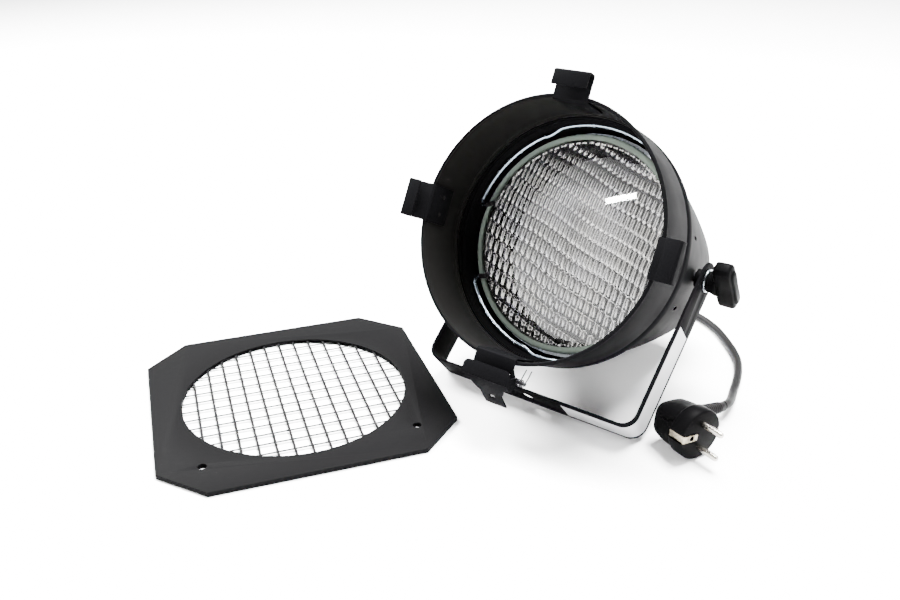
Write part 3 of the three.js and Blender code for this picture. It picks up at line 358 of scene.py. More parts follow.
def extruded(
    name: str, outline: Sequence[Row], depth: float, place: Matrix, finish: Finish
) -> bpy.types.Object:
    """Raises an outline in XY from z = 0 to a depth."""
    return rings(name, [[(x, y, z) for x, y in outline] for z in (0.0, depth)], place, finish)


def slot_outline(width: float, length: float, steps: int = 8) -> list[Row]:
    """Draws a slot with round ends.

    Args:
        width: across the slot.
        length: along it, in Y.
        steps: sides of each round end.

    Returns:
        The outline's points.
    """
    r, h = width / 2, (length - width) / 2
    top = [(r * math.cos(a), h + r * math.sin(a)) for a in (math.pi * i / steps for i in range(steps + 1))]
    return top + [(-x, -y) for x, y in top]


def curve_through(points: Sequence[Sequence[float]], step: float) -> list[Vector]:
    """Runs a centripetal spline through points.

    Args:
        points: what the curve passes through, in order.
        step: about how far apart its own points are.

    Returns:
        The curve's points, from the first of the given ones to the last.
    """
    pts = [Vector(p) for p in points]
    ends = [pts[0] * 2 - pts[1], *pts, pts[-1] * 2 - pts[-2]]
    made: list[Vector] = []
    for i in range(1, len(ends) - 2):
        p0, p1, p2, p3 = ends[i - 1 : i + 3]
        t0 = 0.0
        t1 = t0 + math.sqrt((p1 - p0).length)
        t2 = t1 + math.sqrt((p2 - p1).length)
        t3 = t2 + math.sqrt((p3 - p2).length)
        count = max(1, round((p2 - p1).length / step))
        for k in range(count):
            t = t1 + (t2 - t1) * k / count
            a1 = p0 * ((t1 - t) / (t1 - t0)) + p1 * ((t - t0) / (t1 - t0))
            a2 = p1 * ((t2 - t) / (t2 - t1)) + p2 * ((t - t1) / (t2 - t1))
            a3 = p2 * ((t3 - t) / (t3 - t2)) + p3 * ((t - t2) / (t3 - t2))
            b1 = a1 * ((t2 - t) / (t2 - t0)) + a2 * ((t - t0) / (t2 - t0))
            b2 = a2 * ((t3 - t) / (t3 - t1)) + a3 * ((t - t1) / (t3 - t1))
            made.append(b1 * ((t2 - t) / (t2 - t1)) + b2 * ((t - t1) / (t2 - t1)))
    made.append(pts[-1])
    return made


def tube(
    name: str, path: Sequence[Vector], radius: float, sides: int, place: Matrix, finish: Finish,
    tip: float = 0.0,
) -> bpy.types.Object:
    """Makes a round wire along a path.

    Args:
        name: the object's name.
        path: its centreline in millimetres.
        radius: the wire's radius.
        sides: steps round the wire.
        place: matrix from those millimetres to the part's frame in metres.
        finish: its surface.
        tip: how far each end is drawn in.

    Returns:
        The object, at the origin.
    """
    path = [Vector(p) for p in path]
    normal = (path[1] - path[0]).orthogonal().normalized()
    if tip:
        first, last = (path[0] - path[1]).normalized(), (path[-1] - path[-2]).normalized()
        path = [path[0], path[0] - first * tip, *path[1:-1], path[-1] - last * tip, path[-1]]
    loops = []
    for i, p in enumerate(path):
        along = (path[min(i + 1, len(path) - 1)] - path[max(i - 1, 0)]).normalized()
        normal = (normal - along * normal.dot(along)).normalized()
        other = along.cross(normal)
        r = radius - tip if tip and i in (0, len(path) - 1) else radius
        loops.append([p + (normal * math.cos(a) + other * math.sin(a)) * r
                      for a in (math.tau * k / sides for k in range(sides))])
    return rings(name, loops, place, finish)


def evaluated(obj: bpy.types.Object) -> bpy.types.Object:
    """Applies an object's modifiers to a plain mesh and returns the object."""
    mesh = bpy.data.meshes.new_from_object(obj.evaluated_get(bpy.context.evaluated_depsgraph_get()))
    mesh.name = obj.name
    obj.modifiers.clear()
    obj.data = mesh
    return obj


class Carving(Enum):
    """What carve does with the other pieces."""

    CUT = "DIFFERENCE"
    WELD = "UNION"


def carve(
    obj: bpy.types.Object, others: Sequence[bpy.types.Object], carving: Carving = Carving.CUT
) -> bpy.types.Object:
    """Cuts closed objects from one, or welds them to it, and deletes them.

    Args:
        obj: the piece that stays.
        others: the closed pieces that go.
        carving: cut or weld.

    Returns:
        The piece that stays.
    """
    for other in others:
        mod = obj.modifiers.new("carve", "BOOLEAN")
        mod.operation, mod.object, mod.solver = carving.value, other, "EXACT"
    evaluated(obj)
    for other in others:
        bpy.data.objects.remove(other)
    tidy(obj.data)
    return obj


def rounded(
    obj: bpy.types.Object, width: float, angle: float = 38.0, sharp: float = 42.0
) -> bpy.types.Object:
    """Rounds an object's sharp edges.

    Args:
        obj: the piece, changed in place.
        width: the width of the rounding in millimetres.
        angle: edges over this many degrees are rounded.
        sharp: edges over this many degrees stay sharp afterwards.

    Returns:
        The piece.
    """
    bm = bmesh.new()
    bm.from_mesh(obj.data)
    bmesh.ops.remove_doubles(bm, verts=bm.verts, dist=WELD_DISTANCE)
    bmesh.ops.dissolve_limit(bm, angle_limit=math.radians(FLAT), verts=bm.verts, edges=bm.edges)
    bm.to_mesh(obj.data)
    bm.free()
    mod = obj.modifiers.new("round", "BEVEL")
    mod.width, mod.segments = width * MM, 2
    mod.limit_method, mod.angle_limit = "ANGLE", math.radians(angle)
    mod.use_clamp_overlap = True
    evaluated(obj)
    tidy(obj.data, sharp)
    return obj


def softened(node: str, finish: Finish, width: float) -> bpy.types.Object:
    """Copies a CAD node and rounds the copy's edges.

    Args:
        node: the node's name.
        finish: the copy's surface.
        width: the width of the rounding in millimetres.

    Returns:
        The copy, named after the node.
    """
    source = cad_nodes()[node]
    mesh = source.data.copy()
    mesh.transform(source.matrix_world)
    mesh.materials.clear()
    mesh.materials.append(finish.build())
    mesh.name = node + "_fine"
    return rounded(link(node + "_fine", mesh), width)


_frame: dict = {}


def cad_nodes() -> dict:
    """Returns the frame's CAD nodes by name."""
    return _frame["nodes"]


def joint_place(name: str) -> Vector:
    """Returns a point on a joint's axis, in metres."""
    return Vector(next(j["pos_m"] for j in _frame["joints"] if j["name"] == name))


def joint_axis(name: str) -> Vector:
    """Returns the unit vector along a joint's axis."""
    return Vector(next(j["axis"] for j in _frame["joints"] if j["name"] == name)).normalized()


def settle(obj: bpy.types.Object, body: str, slot: Slot | None, *nodes: str) -> bpy.types.Object:
    """Gives a piece its body, hides the CAD nodes it takes the place of, and reports it.

    Args:
        obj: the finished piece.
        body: the body it rides on.
        slot: its material slot, or None for a piece that has none. Not used.
        nodes: the CAD nodes it takes the place of.

    Returns:
        The piece.
    """
    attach(obj, body)
    if nodes:
        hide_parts(*nodes)
    log.info("%s rides on %s", obj.name, body)
    return obj


def can_place() -> Matrix:
    """Returns the matrix from the can's millimetres (across, behind the rim, up) to the part's frame."""
    back = -joint_axis("ring_lift")
    up = Vector((1, 0, 0)).cross(back)
    m = Matrix.Identity(4)
    m.col[0] = Vector((MM, 0, 0, 0))
    m.col[1] = (*(back * MM), 0)
    m.col[2] = (*(up * MM), 0)
    m.col[3] = (*(joint_place("yoke_tilt") - back * PIVOT_PLACE * MM), 1)
    return m


class Graph:
    """A small geometry nodes group, run once on an object and left as plain mesh."""

    def __init__(self, name: str, values: dict[str, float]) -> None:
        """Makes the group.

        Args:
            name: the group's name.
            values: its named inputs and what they are set to.
        """
        self.tree = bpy.data.node_groups.new(name, "GeometryNodeTree")
        for way in ("INPUT", "OUTPUT"):
            self.tree.interface.new_socket("Geometry", in_out=way, socket_type="NodeSocketGeometry")
        self.values = {}
        for key, val in values.items():
            socket = self.tree.interface.new_socket(key, in_out="INPUT", socket_type="NodeSocketFloat")
            self.values[socket.identifier] = float(val)
        self.entry = self.tree.nodes.new("NodeGroupInput")
        self.exit = self.tree.nodes.new("NodeGroupOutput")

    def value(self, key: str) -> bpy.types.NodeSocket:
        """Returns the socket of a named input."""
        return self.entry.outputs[key]

    def add(self, kind: str, settings: dict[str, Any] | None = None, **sockets: Any) -> bpy.types.Node:
        """Adds a node.

        Args:
            kind: its type.
            settings: its own settings.
            sockets: what its inputs are linked or set to, by name with _ for a space, or as i0, i1.

        Returns:
            The node.
        """
        node = self.tree.nodes.new(kind)
        for key, val in (settings or {}).items():
            setattr(node, key, val)
        for key, val in sockets.items():
            numbered = key[0] == "i" and key[1:].isdigit()
            socket = node.inputs[int(key[1:]) if numbered else key.replace("_", " ")]
            if isinstance(val, bpy.types.NodeSocket):
                self.tree.links.new(val, socket)
            else:
                socket.default_value = val
        return node

    def maths(self, operation: str, a: Any, b: Any = 0.0) -> bpy.types.NodeSocket:
        """Returns the result of a maths node on two sockets or numbers."""
        return self.add("ShaderNodeMath", {"operation": operation}, i0=a, i1=b).outputs[0]

    def xyz(self, x: Any = 0.0, y: Any = 0.0, z: Any = 0.0) -> bpy.types.NodeSocket:
        """Returns the vector of three sockets or numbers."""
        return self.add("ShaderNodeCombineXYZ", X=x, Y=y, Z=z).outputs[0]

    def index(self) -> bpy.types.NodeSocket:
        """Returns the number of each point, from 0."""
        return self.add("GeometryNodeInputIndex").outputs[0]

    def row(self, count: int, step: Point = (0.0, 0.0, 0.0)) -> bpy.types.NodeSocket:
        """Returns a number of points a step apart."""
        return self.add("GeometryNodeMeshLine", {"mode": "OFFSET"}, Count=count, Offset=step).outputs[0]

    def shape(self, obj: bpy.types.Object) -> bpy.types.NodeSocket:
        """Returns the mesh of another object."""
        return self.add("GeometryNodeObjectInfo", Object=obj).outputs["Geometry"]

    def set_at(self, points: bpy.types.NodeSocket, place: bpy.types.NodeSocket) -> bpy.types.NodeSocket:
        """Returns the points moved to their places."""
        return self.add("GeometryNodeSetPosition", Geometry=points, Position=place).outputs[0]

    def moved(self, geometry: bpy.types.NodeSocket, **sockets: Any) -> bpy.types.NodeSocket:
        """Returns a shape under a Translation, Rotation or Scale."""
        return self.add("GeometryNodeTransform", Geometry=geometry, **sockets).outputs[0]

    def repeat(
        self, points: bpy.types.NodeSocket, shape: bpy.types.NodeSocket, **sockets: Any
    ) -> bpy.types.NodeSocket:
        """Returns a shape repeated on points, each under its Rotation and Scale."""
        return self.add("GeometryNodeInstanceOnPoints", Points=points, Instance=shape, **sockets).outputs[0]

    def run(
        self, name: str, geometry: bpy.types.NodeSocket, finish: Finish, place: Matrix | None = None,
        seed: bpy.types.Mesh | None = None,
    ) -> bpy.types.Object:
        """Realizes the instances, sets the material and applies the group.

        Args:
            name: the object's name.
            geometry: the socket that holds the result.
            finish: its surface.
            place: matrix from the group's units to the part's frame, if they differ.
            seed: the mesh that the group starts from, if it needs one.

        Returns:
            The plain object.
        """
        real = self.add("GeometryNodeRealizeInstances", Geometry=geometry)
        painted = self.add("GeometryNodeSetMaterial", Geometry=real.outputs[0], Material=finish.build())
        self.tree.links.new(painted.outputs[0], self.exit.inputs[0])
        obj = link(name, seed or bpy.data.meshes.new(name + "_seed"))
        mod = obj.modifiers.new("repeat", "NODES")
        mod.node_group = self.tree
        for identifier, val in self.values.items():
            mod[identifier] = val
        evaluated(obj)
        if not obj.data.materials:
            obj.data.materials.append(finish.build())
        tidy(obj.data, 40.0)
        if place:
            obj.data.transform(place)
            tidy(obj.data)
        return obj


def aimed_points(name: str, points: Sequence[Vector], aims: Sequence[Vector]) -> bpy.types.Mesh:
    """Makes a mesh of loose points, each with an "aim" vector.

    Args:
        name: the mesh's name.
        points: the points, in metres.
        aims: the vector of each.

    Returns:
        The mesh.
    """
    mesh = bpy.data.meshes.new(name)
    mesh.from_pydata([tuple(p) for p in points], [], [])
    aim = mesh.attributes.new("aim", "FLOAT_VECTOR", "POINT")
    aim.data.foreach_set("vector", [c for a in aims for c in a])
    return mesh


# ---- studio -------------------------------------------------------------------


@dataclass(frozen=True)
class Softbox:
    """A rectangular light aimed at a point, spun about its aim by some degrees."""

    name: str
    place: Point
    aim: Point
    size: Row
    power: float
    spin: float = 0.0

    def build(self) -> None:
        """Hangs the light."""
        data = bpy.data.lights.new(self.name, "AREA")
        data.shape, data.size, data.size_y = "RECTANGLE", *self.size
        data.energy = self.power
        obj = bpy.data.objects.new(self.name, data)
        obj.location = self.place
        obj.rotation_mode = "QUATERNION"
        turn = (Vector(self.aim) - Vector(self.place)).to_track_quat("-Z", "Y").to_matrix().to_4x4()
        obj.rotation_quaternion = (turn @ Matrix.Rotation(math.radians(self.spin), 4, "Z")).to_quaternion()
        bpy.context.scene.collection.objects.link(obj)


SOFTBOXES = (
    Softbox("key_softbox", (-1.5, 0.15, 1.6), (0.0, 0.0, 0.05), (1.1, 0.9), 560),
    Softbox("strip_light", (-0.40, -1.02, 1.19), (0.127, 0.089, 0.164), (0.2, 0.04), 10, 38),
    Softbox("fill_panel", (-0.92, -1.5, 0.98), (0.09, 0.06, 0.13), (2.6, 2.2), 40),
    Softbox("side_softbox", (1.7, 0.2, 1.1), (0.1, 0.1, 0.1), (0.7, 1.0), 50),
    Softbox("top_softbox", (0.2, 0.6, 2.0), (0.1, 0.1, 0.0), (1.4, 1.0), 760),
)


@dataclass
class Studio:
    """Camera, white surround and floor.

    Args:
        eye: where the camera stands, in metres.
        target: what it looks at.
        roll: its turn about its own axis, in degrees.
        lens: its focal length in millimetres.
        reach: half the side of the floor.
        drop: how far the floor lies under the object.
    """

    eye: Point = (0.4429, -0.5345, 0.4120)
    target: Point = (-0.0798, 0.1367, 0.0)
    roll: float = -1.09
    lens: float = 37.48
    reach: float = 9.0
    drop: float = 0.0004

    def camera(self) -> None:
        """Makes the camera and looks through it."""
        data = bpy.data.cameras.new("camera")
        data.lens, data.sensor_width = self.lens, 36.0
        data.clip_start, data.clip_end = 0.02, 60.0
        cam = bpy.data.objects.new("camera", data)
        ahead = (Vector(self.target) - Vector(self.eye)).normalized()
        right = ahead.cross(Vector((0, 0, 1))).normalized()
        up = right.cross(ahead)
        r = math.radians(self.roll)
        right, up = right * math.cos(r) + up * math.sin(r), up * math.cos(r) - right * math.sin(r)
        turn = Matrix((right, up, -ahead)).transposed()
        cam.location = self.eye
        cam.rotation_mode = "QUATERNION"
        cam.rotation_quaternion = turn.to_quaternion()
        bpy.context.scene.collection.objects.link(cam)
        bpy.context.scene.camera = cam

    @staticmethod
    def surround() -> None:
        """Adds the white surround, dimmer overhead and on the right."""
        world = bpy.data.worlds.new("surround")
        world.use_nodes = True
        tree = world.node_tree
        back = tree.nodes["Background"]
        back.inputs["Color"].default_value = (1, 1, 1, 1)
        coords = tree.nodes.new("ShaderNodeTexCoord")

        def fade(toward: Point, begin: float, end: float, near: float, far: float) -> bpy.types.NodeSocket:
            """Returns a strength that eases from near to far as a direction turns toward another."""
            share = tree.nodes.new("ShaderNodeVectorMath")
            share.operation = "DOT_PRODUCT"
            share.inputs[1].default_value = toward
            ease = tree.nodes.new("ShaderNodeMapRange")
            ease.interpolation_type = "SMOOTHSTEP"
            limits = {"From Min": begin, "From Max": end, "To Min": near, "To Max": far}
            for key, val in limits.items():
                ease.inputs[key].default_value = val
            tree.links.new(coords.outputs["Generated"], share.inputs[0])
            tree.links.new(share.outputs["Value"], ease.inputs["Value"])
            return ease.outputs["Result"]

        both = tree.nodes.new("ShaderNodeMath")
        both.operation = "MULTIPLY"
        tree.links.new(fade((0.0, 0.0, 1.0), 0.2, 0.45, 3.8, 0.3), both.inputs[0])
        tree.links.new(fade((0.97, 0.24, 0.0), 0.15, 0.75, 1.0, 0.12), both.inputs[1])
        tree.links.new(both.outputs[0], back.inputs["Strength"])
        bpy.context.scene.world = world

    def floor(self) -> None:
        """Adds the seamless floor just under the object."""
        r = self.reach
        corners = [(x, y, -self.drop) for x, y in ((-r, -r), (r, -r), (r, r), (-r, r))]
        mesh = bpy.data.meshes.new("floor")
        mesh.from_pydata(corners, [], [(0, 1, 2, 3)])
        mesh.materials.append(FLOOR.build())
        link("floor", mesh)


# ---- mains cord and plug ---------------------------------------------------------


@dataclass
class MainsCord:
    """The lead: out of the gland, round a hidden coil behind the can, and on to the plug.

    Args:
        radius: the cord's own, in millimetres.
        floor: height of the centreline where the cord lies on the floor.
        rise: its height where it crosses over the coil.
        centre: the coil's middle.
        inner: radius of the coil's first turn.
        pitch: what each turn adds to the radius.
        turns: number of turns.
        fall_steps: points over which the cord comes down from its crossing.
        smooth: about how far apart the centreline's points are.
    """

    radius: float = 3.5
    floor: float = 3.8
    rise: float = 11.2
    centre: Row = (53.0, 300.0)
    inner: float = 33.0
    pitch: float = 7.2
    turns: float = 2.75
    fall_steps: int = 11
    smooth: float = 2.5

    def path(self) -> list[Vector]:
        """Returns the centreline in metres."""
        rise, floor = self.rise, self.floor
        start = [(84.2, 226.96, 26.02), (84.2, 235.8, 21.3), (84.3, 246, 16.6), (84.6, 257, 12.9),
                 (85.1, 268, 11.4), (85.6, 279, rise), (86.0, 290, rise)]
        coil = []
        points = 36  # of each turn
        for i in range(round(self.turns * points) + 1):
            angle = math.radians(10 * i)
            r = self.inner + self.pitch * i / points
            fall = min(i / self.fall_steps, 1.0)
            fall = fall * fall * (3 - 2 * fall)
            z = rise + (floor - rise) * fall
            coil.append((self.centre[0] + r * math.cos(angle), self.centre[1] + r * math.sin(angle), z))
        flat = [(75.0, 247.1), (97, 247.5), (118, 246.3), (138.2, 240.2), (160.2, 227.8), (182.2, 206.8),
                (200.7, 183.8), (210.7, 162.8), (217.2, 141.8)]
        climb = [(220, 129.8, 4), (223.2, 118.8, 5.2), (226, 107.8, 7.5), (227.6, 97.8, 10.3),
                 (227.2, 89.8, 12.4)]
        route = [*start, *coil, *((x, y, floor) for x, y in flat), *climb]
        return [p * MM for p in curve_through(route, self.smooth)]

    def build(self, pieces: Sequence[bpy.types.Object]) -> None:
        """Args:
            pieces: the plug's pieces and the sleeve, which are on the cord. Not used.
        """
        path = self.path()
        data = bpy.data.curves.new("mains_cord", "CURVE")
        data.dimensions = "3D"
        data.bevel_depth = self.radius * MM
        data.bevel_resolution = 4
        data.use_fill_caps = True
        spline = data.splines.new("POLY")
        spline.points.add(len(path) - 1)
        for point, p in zip(spline.points, path):
            point.co = (*p, 1)
        data.materials.append(RUBBER.build())
        obj = bpy.data.objects.new("mains_cord", data)
        bpy.context.scene.collection.objects.link(obj)
        settle(obj, "root", Slot.RUBBER, "mains_cord_start", "mains_cord_coil", "mains_cord_run")


@dataclass
class Plug:
    """The moulded angled plug at the cord's end.

    Args:
        place: the middle of its face, in millimetres of the part's frame.
        turn: the way that it faces, in degrees.
        roll: its roll about its pins.
        radius: the round body's.
        depth: from its face to its back.
        outlet: from its face to the cord's middle.
        pin_gap: from the middle to each pin.
    """

    place: Point
    turn: float = -20.8
    roll: float = 8.0
    radius: float = 20.0
    depth: float = 36.0
    outlet: float = 27.0
    pin_gap: float = 9.5

    def matrix(self) -> Matrix:
        """Returns the matrix from the plug's millimetres (X out of its face, Y to the cord) to the frame."""
        turn = Matrix.Rotation(math.radians(self.turn), 4, "Z")
        turn = turn @ Matrix.Rotation(-math.radians(self.roll), 4, "X")
        return Matrix.Translation(Vector(self.place) * MM) @ turn @ Matrix.Scale(MM, 4)

    @staticmethod
    def ring(x: float, half_y: float, half_z: float, square: float, count: int = 64) -> list[Point]:
        """Draws one section of the body.

        Args:
            x: its place along the body.
            half_y: half its size in Y.
            half_z: half its size in Z.
            square: 2 for an ellipse, and more for a boxier section.
            count: its points.

        Returns:
            The section's points.
        """
        made = []
        for i in range(count):
            a = math.tau * (i + 0.5) / count
            c, s = math.cos(a), math.sin(a)
            swell = 1 / (abs(c) ** square + abs(s) ** square) ** (1 / square)
            made.append((x, half_y * swell * c, half_z * swell * s))
        return made

    def body(self, m: Matrix) -> bpy.types.Object:
        """Makes the body with its collar, earth recesses and earth socket.

        Args:
            m: the plug's matrix.

        Returns:
            The body.
        """
        r, d = self.radius, self.depth
        sections = [
            (0, r - 1.4, r - 1.4, 2), (-0.4, r - 0.6, r - 0.6, 2), (-1.3, r, r, 2), (-11.4, r, r, 2),
            (-12.4, r - 0.5, r - 0.6, 2), (-13.2, r - 1.2, r - 1.8, 2.2), (-14.2, r - 1.7, r - 2.7, 2.4),
            (-21, 17.2, 16.0, 3.0), (-27, 15.9, 14.7, 3.5), (-d + 4, 14.5, 13.5, 4),
            (-d + 1.6, 13.2, 12.2, 4), (-d + 0.4, 12.0, 11.0, 4), (-d, 10.6, 9.6, 4),
        ]
        blank = rings("plug_shell", [self.ring(*section) for section in sections], m, PLASTIC)
        end = r + 3

        def collar_ring(y: float, x: float, z: float) -> list[Point]:
            """Returns one boxy section of the collar, x by z, at a place along the cord."""
            return [(u - self.outlet, y, v) for _, u, v in self.ring(0, x / 2, z / 2, 4)]

        steps = [(4, 15, 18), (end - 3, 15, 14), (end - 1, 14.4, 13.4), (end, 13, 12)]
        carve(blank, [rings("plug_collar", [collar_ring(*step) for step in steps], m, PLASTIC)], Carving.WELD)
        tools = []
        for side in (-1, 1):
            tools.append(block(f"notch_{side + 1}", (16, 6, 6.4), (-7, side * (r - 2.6 + 3), 0), m, PLASTIC))
        for side in (-1, 1):
            tools.append(block(f"grip_{side + 1}", (17, 1.6, 26), (-22, -20.4 + 4.2, side * 18), m, PLASTIC))
        socket = m @ Matrix.Translation((0, -r / 2, 0)) @ Matrix.Rotation(-math.pi / 2, 4, "Z")
        tools.append(lathe("earth_socket", [(0, -12), (2.5, -12), (2.5, 12), (0, 12)], 32, socket, PLASTIC))
        carve(blank, tools)
        blank.name = "plug_body_fine"
        return blank

    def build(self) -> list[bpy.types.Object]:
        """Makes the plug and returns its pieces."""
        m = self.matrix()
        made = [settle(self.body(m), "root", Slot.PLASTIC, "plug_body")]
        outline = [(0, 0.3), (2.35, 0.3), (2.4, 0.8), (2.4, 16.6), (2.25, 17.5), (1.85, 18.3), (1.2, 18.85),
                   (0.5, 19.0), (0, 19.0)]
        for side, name in ((1, "upper"), (-1, "lower")):
            at = m @ Matrix.Translation((0, 0, side * self.pin_gap)) @ Matrix.Rotation(-math.pi / 2, 4, "Z")
            pin = lathe(f"plug_pin_{name}_fine", outline, 32, at, NICKEL)
            made.append(settle(pin, "root", Slot.NICKEL, f"plug_pin_{name}"))
        # The earth strips take the darkened nickel, whose darkening is painted shade of their recesses.
        for node in ("plug_earth_cord_side", "plug_earth_face_side"):
            made.append(settle(softened(node, EARTH_STRIP_PAINTED_SHADE, 0.2), "root", Slot.NICKEL, node))
        made += self.relief(m @ Matrix.Translation((-self.outlet, self.radius + 3.3, 0)))
        return made

    @staticmethod
    def relief(m: Matrix) -> list[bpy.types.Object]:
        """Makes the tapered relief and its close ribs.

        Args:
            m: matrix from the relief's millimetres, Y along the cord, to the frame.

        Returns:
            The core and the ribs.
        """
        taper = [(0, 0.02), (5.4, 0.02), (4.15, 22), (3.9, 29.6), (3.6, 30), (0, 30)]
        core = lathe("cord_relief_core", taper, 40, m, RUBBER)
        count, pitch, before = 12, 2.1, 1.3
        graph = Graph("relief_ribs", {"First": 5.85, "Last": 4.5, "Ribs": count})
        circle = graph.add("GeometryNodeCurvePrimitiveCircle", {"mode": "RADIUS"}, Resolution=40, Radius=0.84)
        profile = graph.add("GeometryNodeCurvePrimitiveCircle", {"mode": "RADIUS"}, Resolution=8, Radius=0.15)
        ring = graph.add("GeometryNodeCurveToMesh", Curve=circle.outputs[0], Profile_Curve=profile.outputs[0])
        part = graph.maths("DIVIDE", graph.index(), graph.value("Ribs"))
        gap = graph.maths("SUBTRACT", graph.value("Last"), graph.value("First"))
        size = graph.maths("ADD", graph.value("First"), graph.maths("MULTIPLY", part, gap))
        scale = graph.xyz(size, size, graph.maths("MULTIPLY", size, 0.95))
        placed = graph.repeat(graph.row(count, (0, pitch, 0)), ring.outputs[0],
                              Rotation=(math.pi / 2, 0, 0), Scale=scale)
        ribs = graph.run("cord_relief_ribs", graph.moved(placed, Translation=(0, before, 0)), RUBBER, m)
        return [settle(core, "root", Slot.RUBBER, "cord_relief"), settle(ribs, "root", Slot.RUBBER)]


# ---- can ---------------------------------------------------------------------------


@dataclass
class Can:
    """Front tube, rear housing, cap, clips and what is fixed to them.

    Args:
        place: the can's matrix.
        tube_radius: outside radius of the front tube. All sizes are in millimetres.
        seam: from the rim back to the housing.
        sheet: thickness of the tube's and the housing's steel.
        rear: from the rim back to the housing's end.
        front_radius: of the housing at the seam.
        rear_radius: of the housing at its end.
        flange: how far the housing's end turns in.
        bulge: how far the housing's side swells in its middle.
        vents: number of vent slots.
        vent_place: from the seam back to the vent slots.
        vent_size: their width and length.
        screw_circle: radius of the circle of the cap's screws.
        cap_gap: between the housing's end and the cap.
        cap_dish: how deep the cap is dished.
        cap_opening: radius of the dish.
        gland_at: the gland's place across and up.
        sides: steps round the can.
    """

    place: Matrix
    tube_radius: float = 101.0
    seam: float = 58.0
    sheet: float = 1.2
    rear: float = 202.9
    front_radius: float = 97.3
    rear_radius: float = 69.0
    flange: float = 23.0
    bulge: float = 1.7
    vents: int = 10
    vent_place: float = 36.0
    vent_size: Row = (3.2, 11.0)
    screw_circle: float = 53.0
    cap_gap: float = 0.3
    cap_dish: float = 7.0
    cap_opening: float = 46.0
    gland_at: Row = (-10.0, -14.0)
    sides: int = 144

    def housing_radius(self, s: float) -> float:
        """Returns the housing's outside radius at a distance behind the rim."""
        t = (s - self.seam) / (self.rear - 3 - self.seam)
        return self.front_radius + t * (self.rear_radius - self.front_radius) + self.bulge * 4 * t * (1 - t)

    @staticmethod
    def walled(outer: Sequence[Row], thickness: float) -> list[Row]:
        """Gives an open outline an inside wall.

        Args:
            outer: its points of (radius, place).
            thickness: of the wall.

        Returns:
            The closed outline.
        """
        inner = []
        for i, point in enumerate(outer):
            before, after = outer[max(i - 1, 0)], outer[min(i + 1, len(outer) - 1)]
            dr, ds = after[0] - before[0], after[1] - before[1]
            size = math.hypot(dr, ds)
            inner.append((point[0] - ds / size * thickness, point[1] + dr / size * thickness))
        return [*outer, *reversed(inner)]

    def tube(self) -> None:
        """Makes the front tube: rolled rim, plain wall and the groove ahead of the seam."""
        r, rib, bead = self.tube_radius, self.seam - 9, 1.7
        wall = [(r, 3.8), (r, rib - 2.4), (r - 0.35, rib - 1.7), (r - 0.95, rib - 0.8), (r - 1.1, rib),
                (r - 0.95, rib + 0.8), (r - 0.35, rib + 1.7), (r, rib + 2.4), (r, self.seam - 0.4),
                (r - 0.15, self.seam)]
        rolled = [(r - 0.45, 0.12), (r - 0.1, 0.0), (r + 0.55, 0.02), (r + 1.15, 0.35), (r + 1.58, 0.95),
                  (r + bead, 1.6), (r + 1.55, 2.3), (r + 1.1, 2.95), (r + 0.45, 3.4)]
        outline = [*rolled, *self.walled(wall, self.sheet), (r - 1.2, 1.3), (r - 0.95, 0.5)]
        made = lathe("front_tube_fine", outline, self.sides, self.place, COAT)
        made.data.materials.append(COAT_INSIDE.build())
        inverse = self.place.inverted()
        for face in made.data.polygons:
            c = inverse @ face.center
            if math.hypot(c.x, c.z) < r - 0.75:
                face.material_index = 1
        settle(made, "root", Slot.COAT, "front_tube")

    def housing(self) -> None:
        """Makes the rear housing and cuts its vents, pivot holes and screw holes."""
        lap = self.tube_radius - self.sheet - 0.3
        end = self.rear - 3
        points = [(lap, self.seam - 6), (lap, self.seam - 0.6), (lap - 0.5, self.seam + 0.3),
                  (self.front_radius + 0.5, self.seam + 1.3), (self.front_radius, self.seam + 2.1)]
        for i in range(1, 13):
            s = self.seam + 1.8 + (end - self.seam - 1.8) * i / 12
            points.append((self.housing_radius(s) - (0.05 if i == 12 else 0.0), s))
        points += [(self.rear_radius - 0.35, self.rear - 1.75), (self.rear_radius - 1.2, self.rear - 0.7),
                   (self.rear_radius - 3, self.rear - 0.02), (self.rear_radius - self.flange, self.rear)]
        made = lathe("rear_housing_fine", self.walled(points, self.sheet), self.sides, self.place, COAT)
        bolt = self.place @ Matrix.Translation((0, PIVOT_PLACE, 0)) @ Matrix.Rotation(math.pi / 2, 4, "Z")
        through = [(0, -110), (4.4, -110), (4.4, 110), (0, 110)]
        tools = [self.vent_cutters(), lathe("pivot_cutter", through, 32, bolt, COAT)]
        hole = [(0, self.rear - 6), (2.2, self.rear - 6), (2.2, self.rear + 4), (0, self.rear + 4)]
        for i in range(3):
            a = math.pi / 2 + math.tau * i / 3
            at = Matrix.Translation((self.screw_circle * math.cos(a), 0, self.screw_circle * math.sin(a)))
            tools.append(lathe(f"screw_cutter_{i}", hole, 20, self.place @ at, COAT))
        settle(carve(made, tools), "root", Slot.COAT, "rear_housing")

    def vent_cutters(self) -> bpy.types.Object:
        """Repeats one slot round the housing and returns the whole set as one cutter."""
        deep = 16
        slot = extruded("vent_shape", slot_outline(*self.vent_size), deep, Matrix.Identity(4), COAT)
        radius = self.housing_radius(self.seam + self.vent_place) - deep / 2
        graph = Graph("vent_slots", {"Count": self.vents, "Radius": radius})
        half = graph.maths("ADD", graph.index(), 0.5)
        turn = graph.maths("DIVIDE", graph.maths("MULTIPLY", half, math.tau), graph.value("Count"))
        lift = graph.xyz(y=self.seam + self.vent_place, z=graph.value("Radius"))
        raised = graph.moved(graph.shape(slot), Translation=lift)
        placed = graph.repeat(graph.row(self.vents), raised, Rotation=graph.xyz(y=turn))
        made = graph.run("vent_cutters", placed, COAT, self.place @ Matrix.Rotation(math.pi / 2, 4, "Y"))
        bpy.data.objects.remove(slot)
        return made

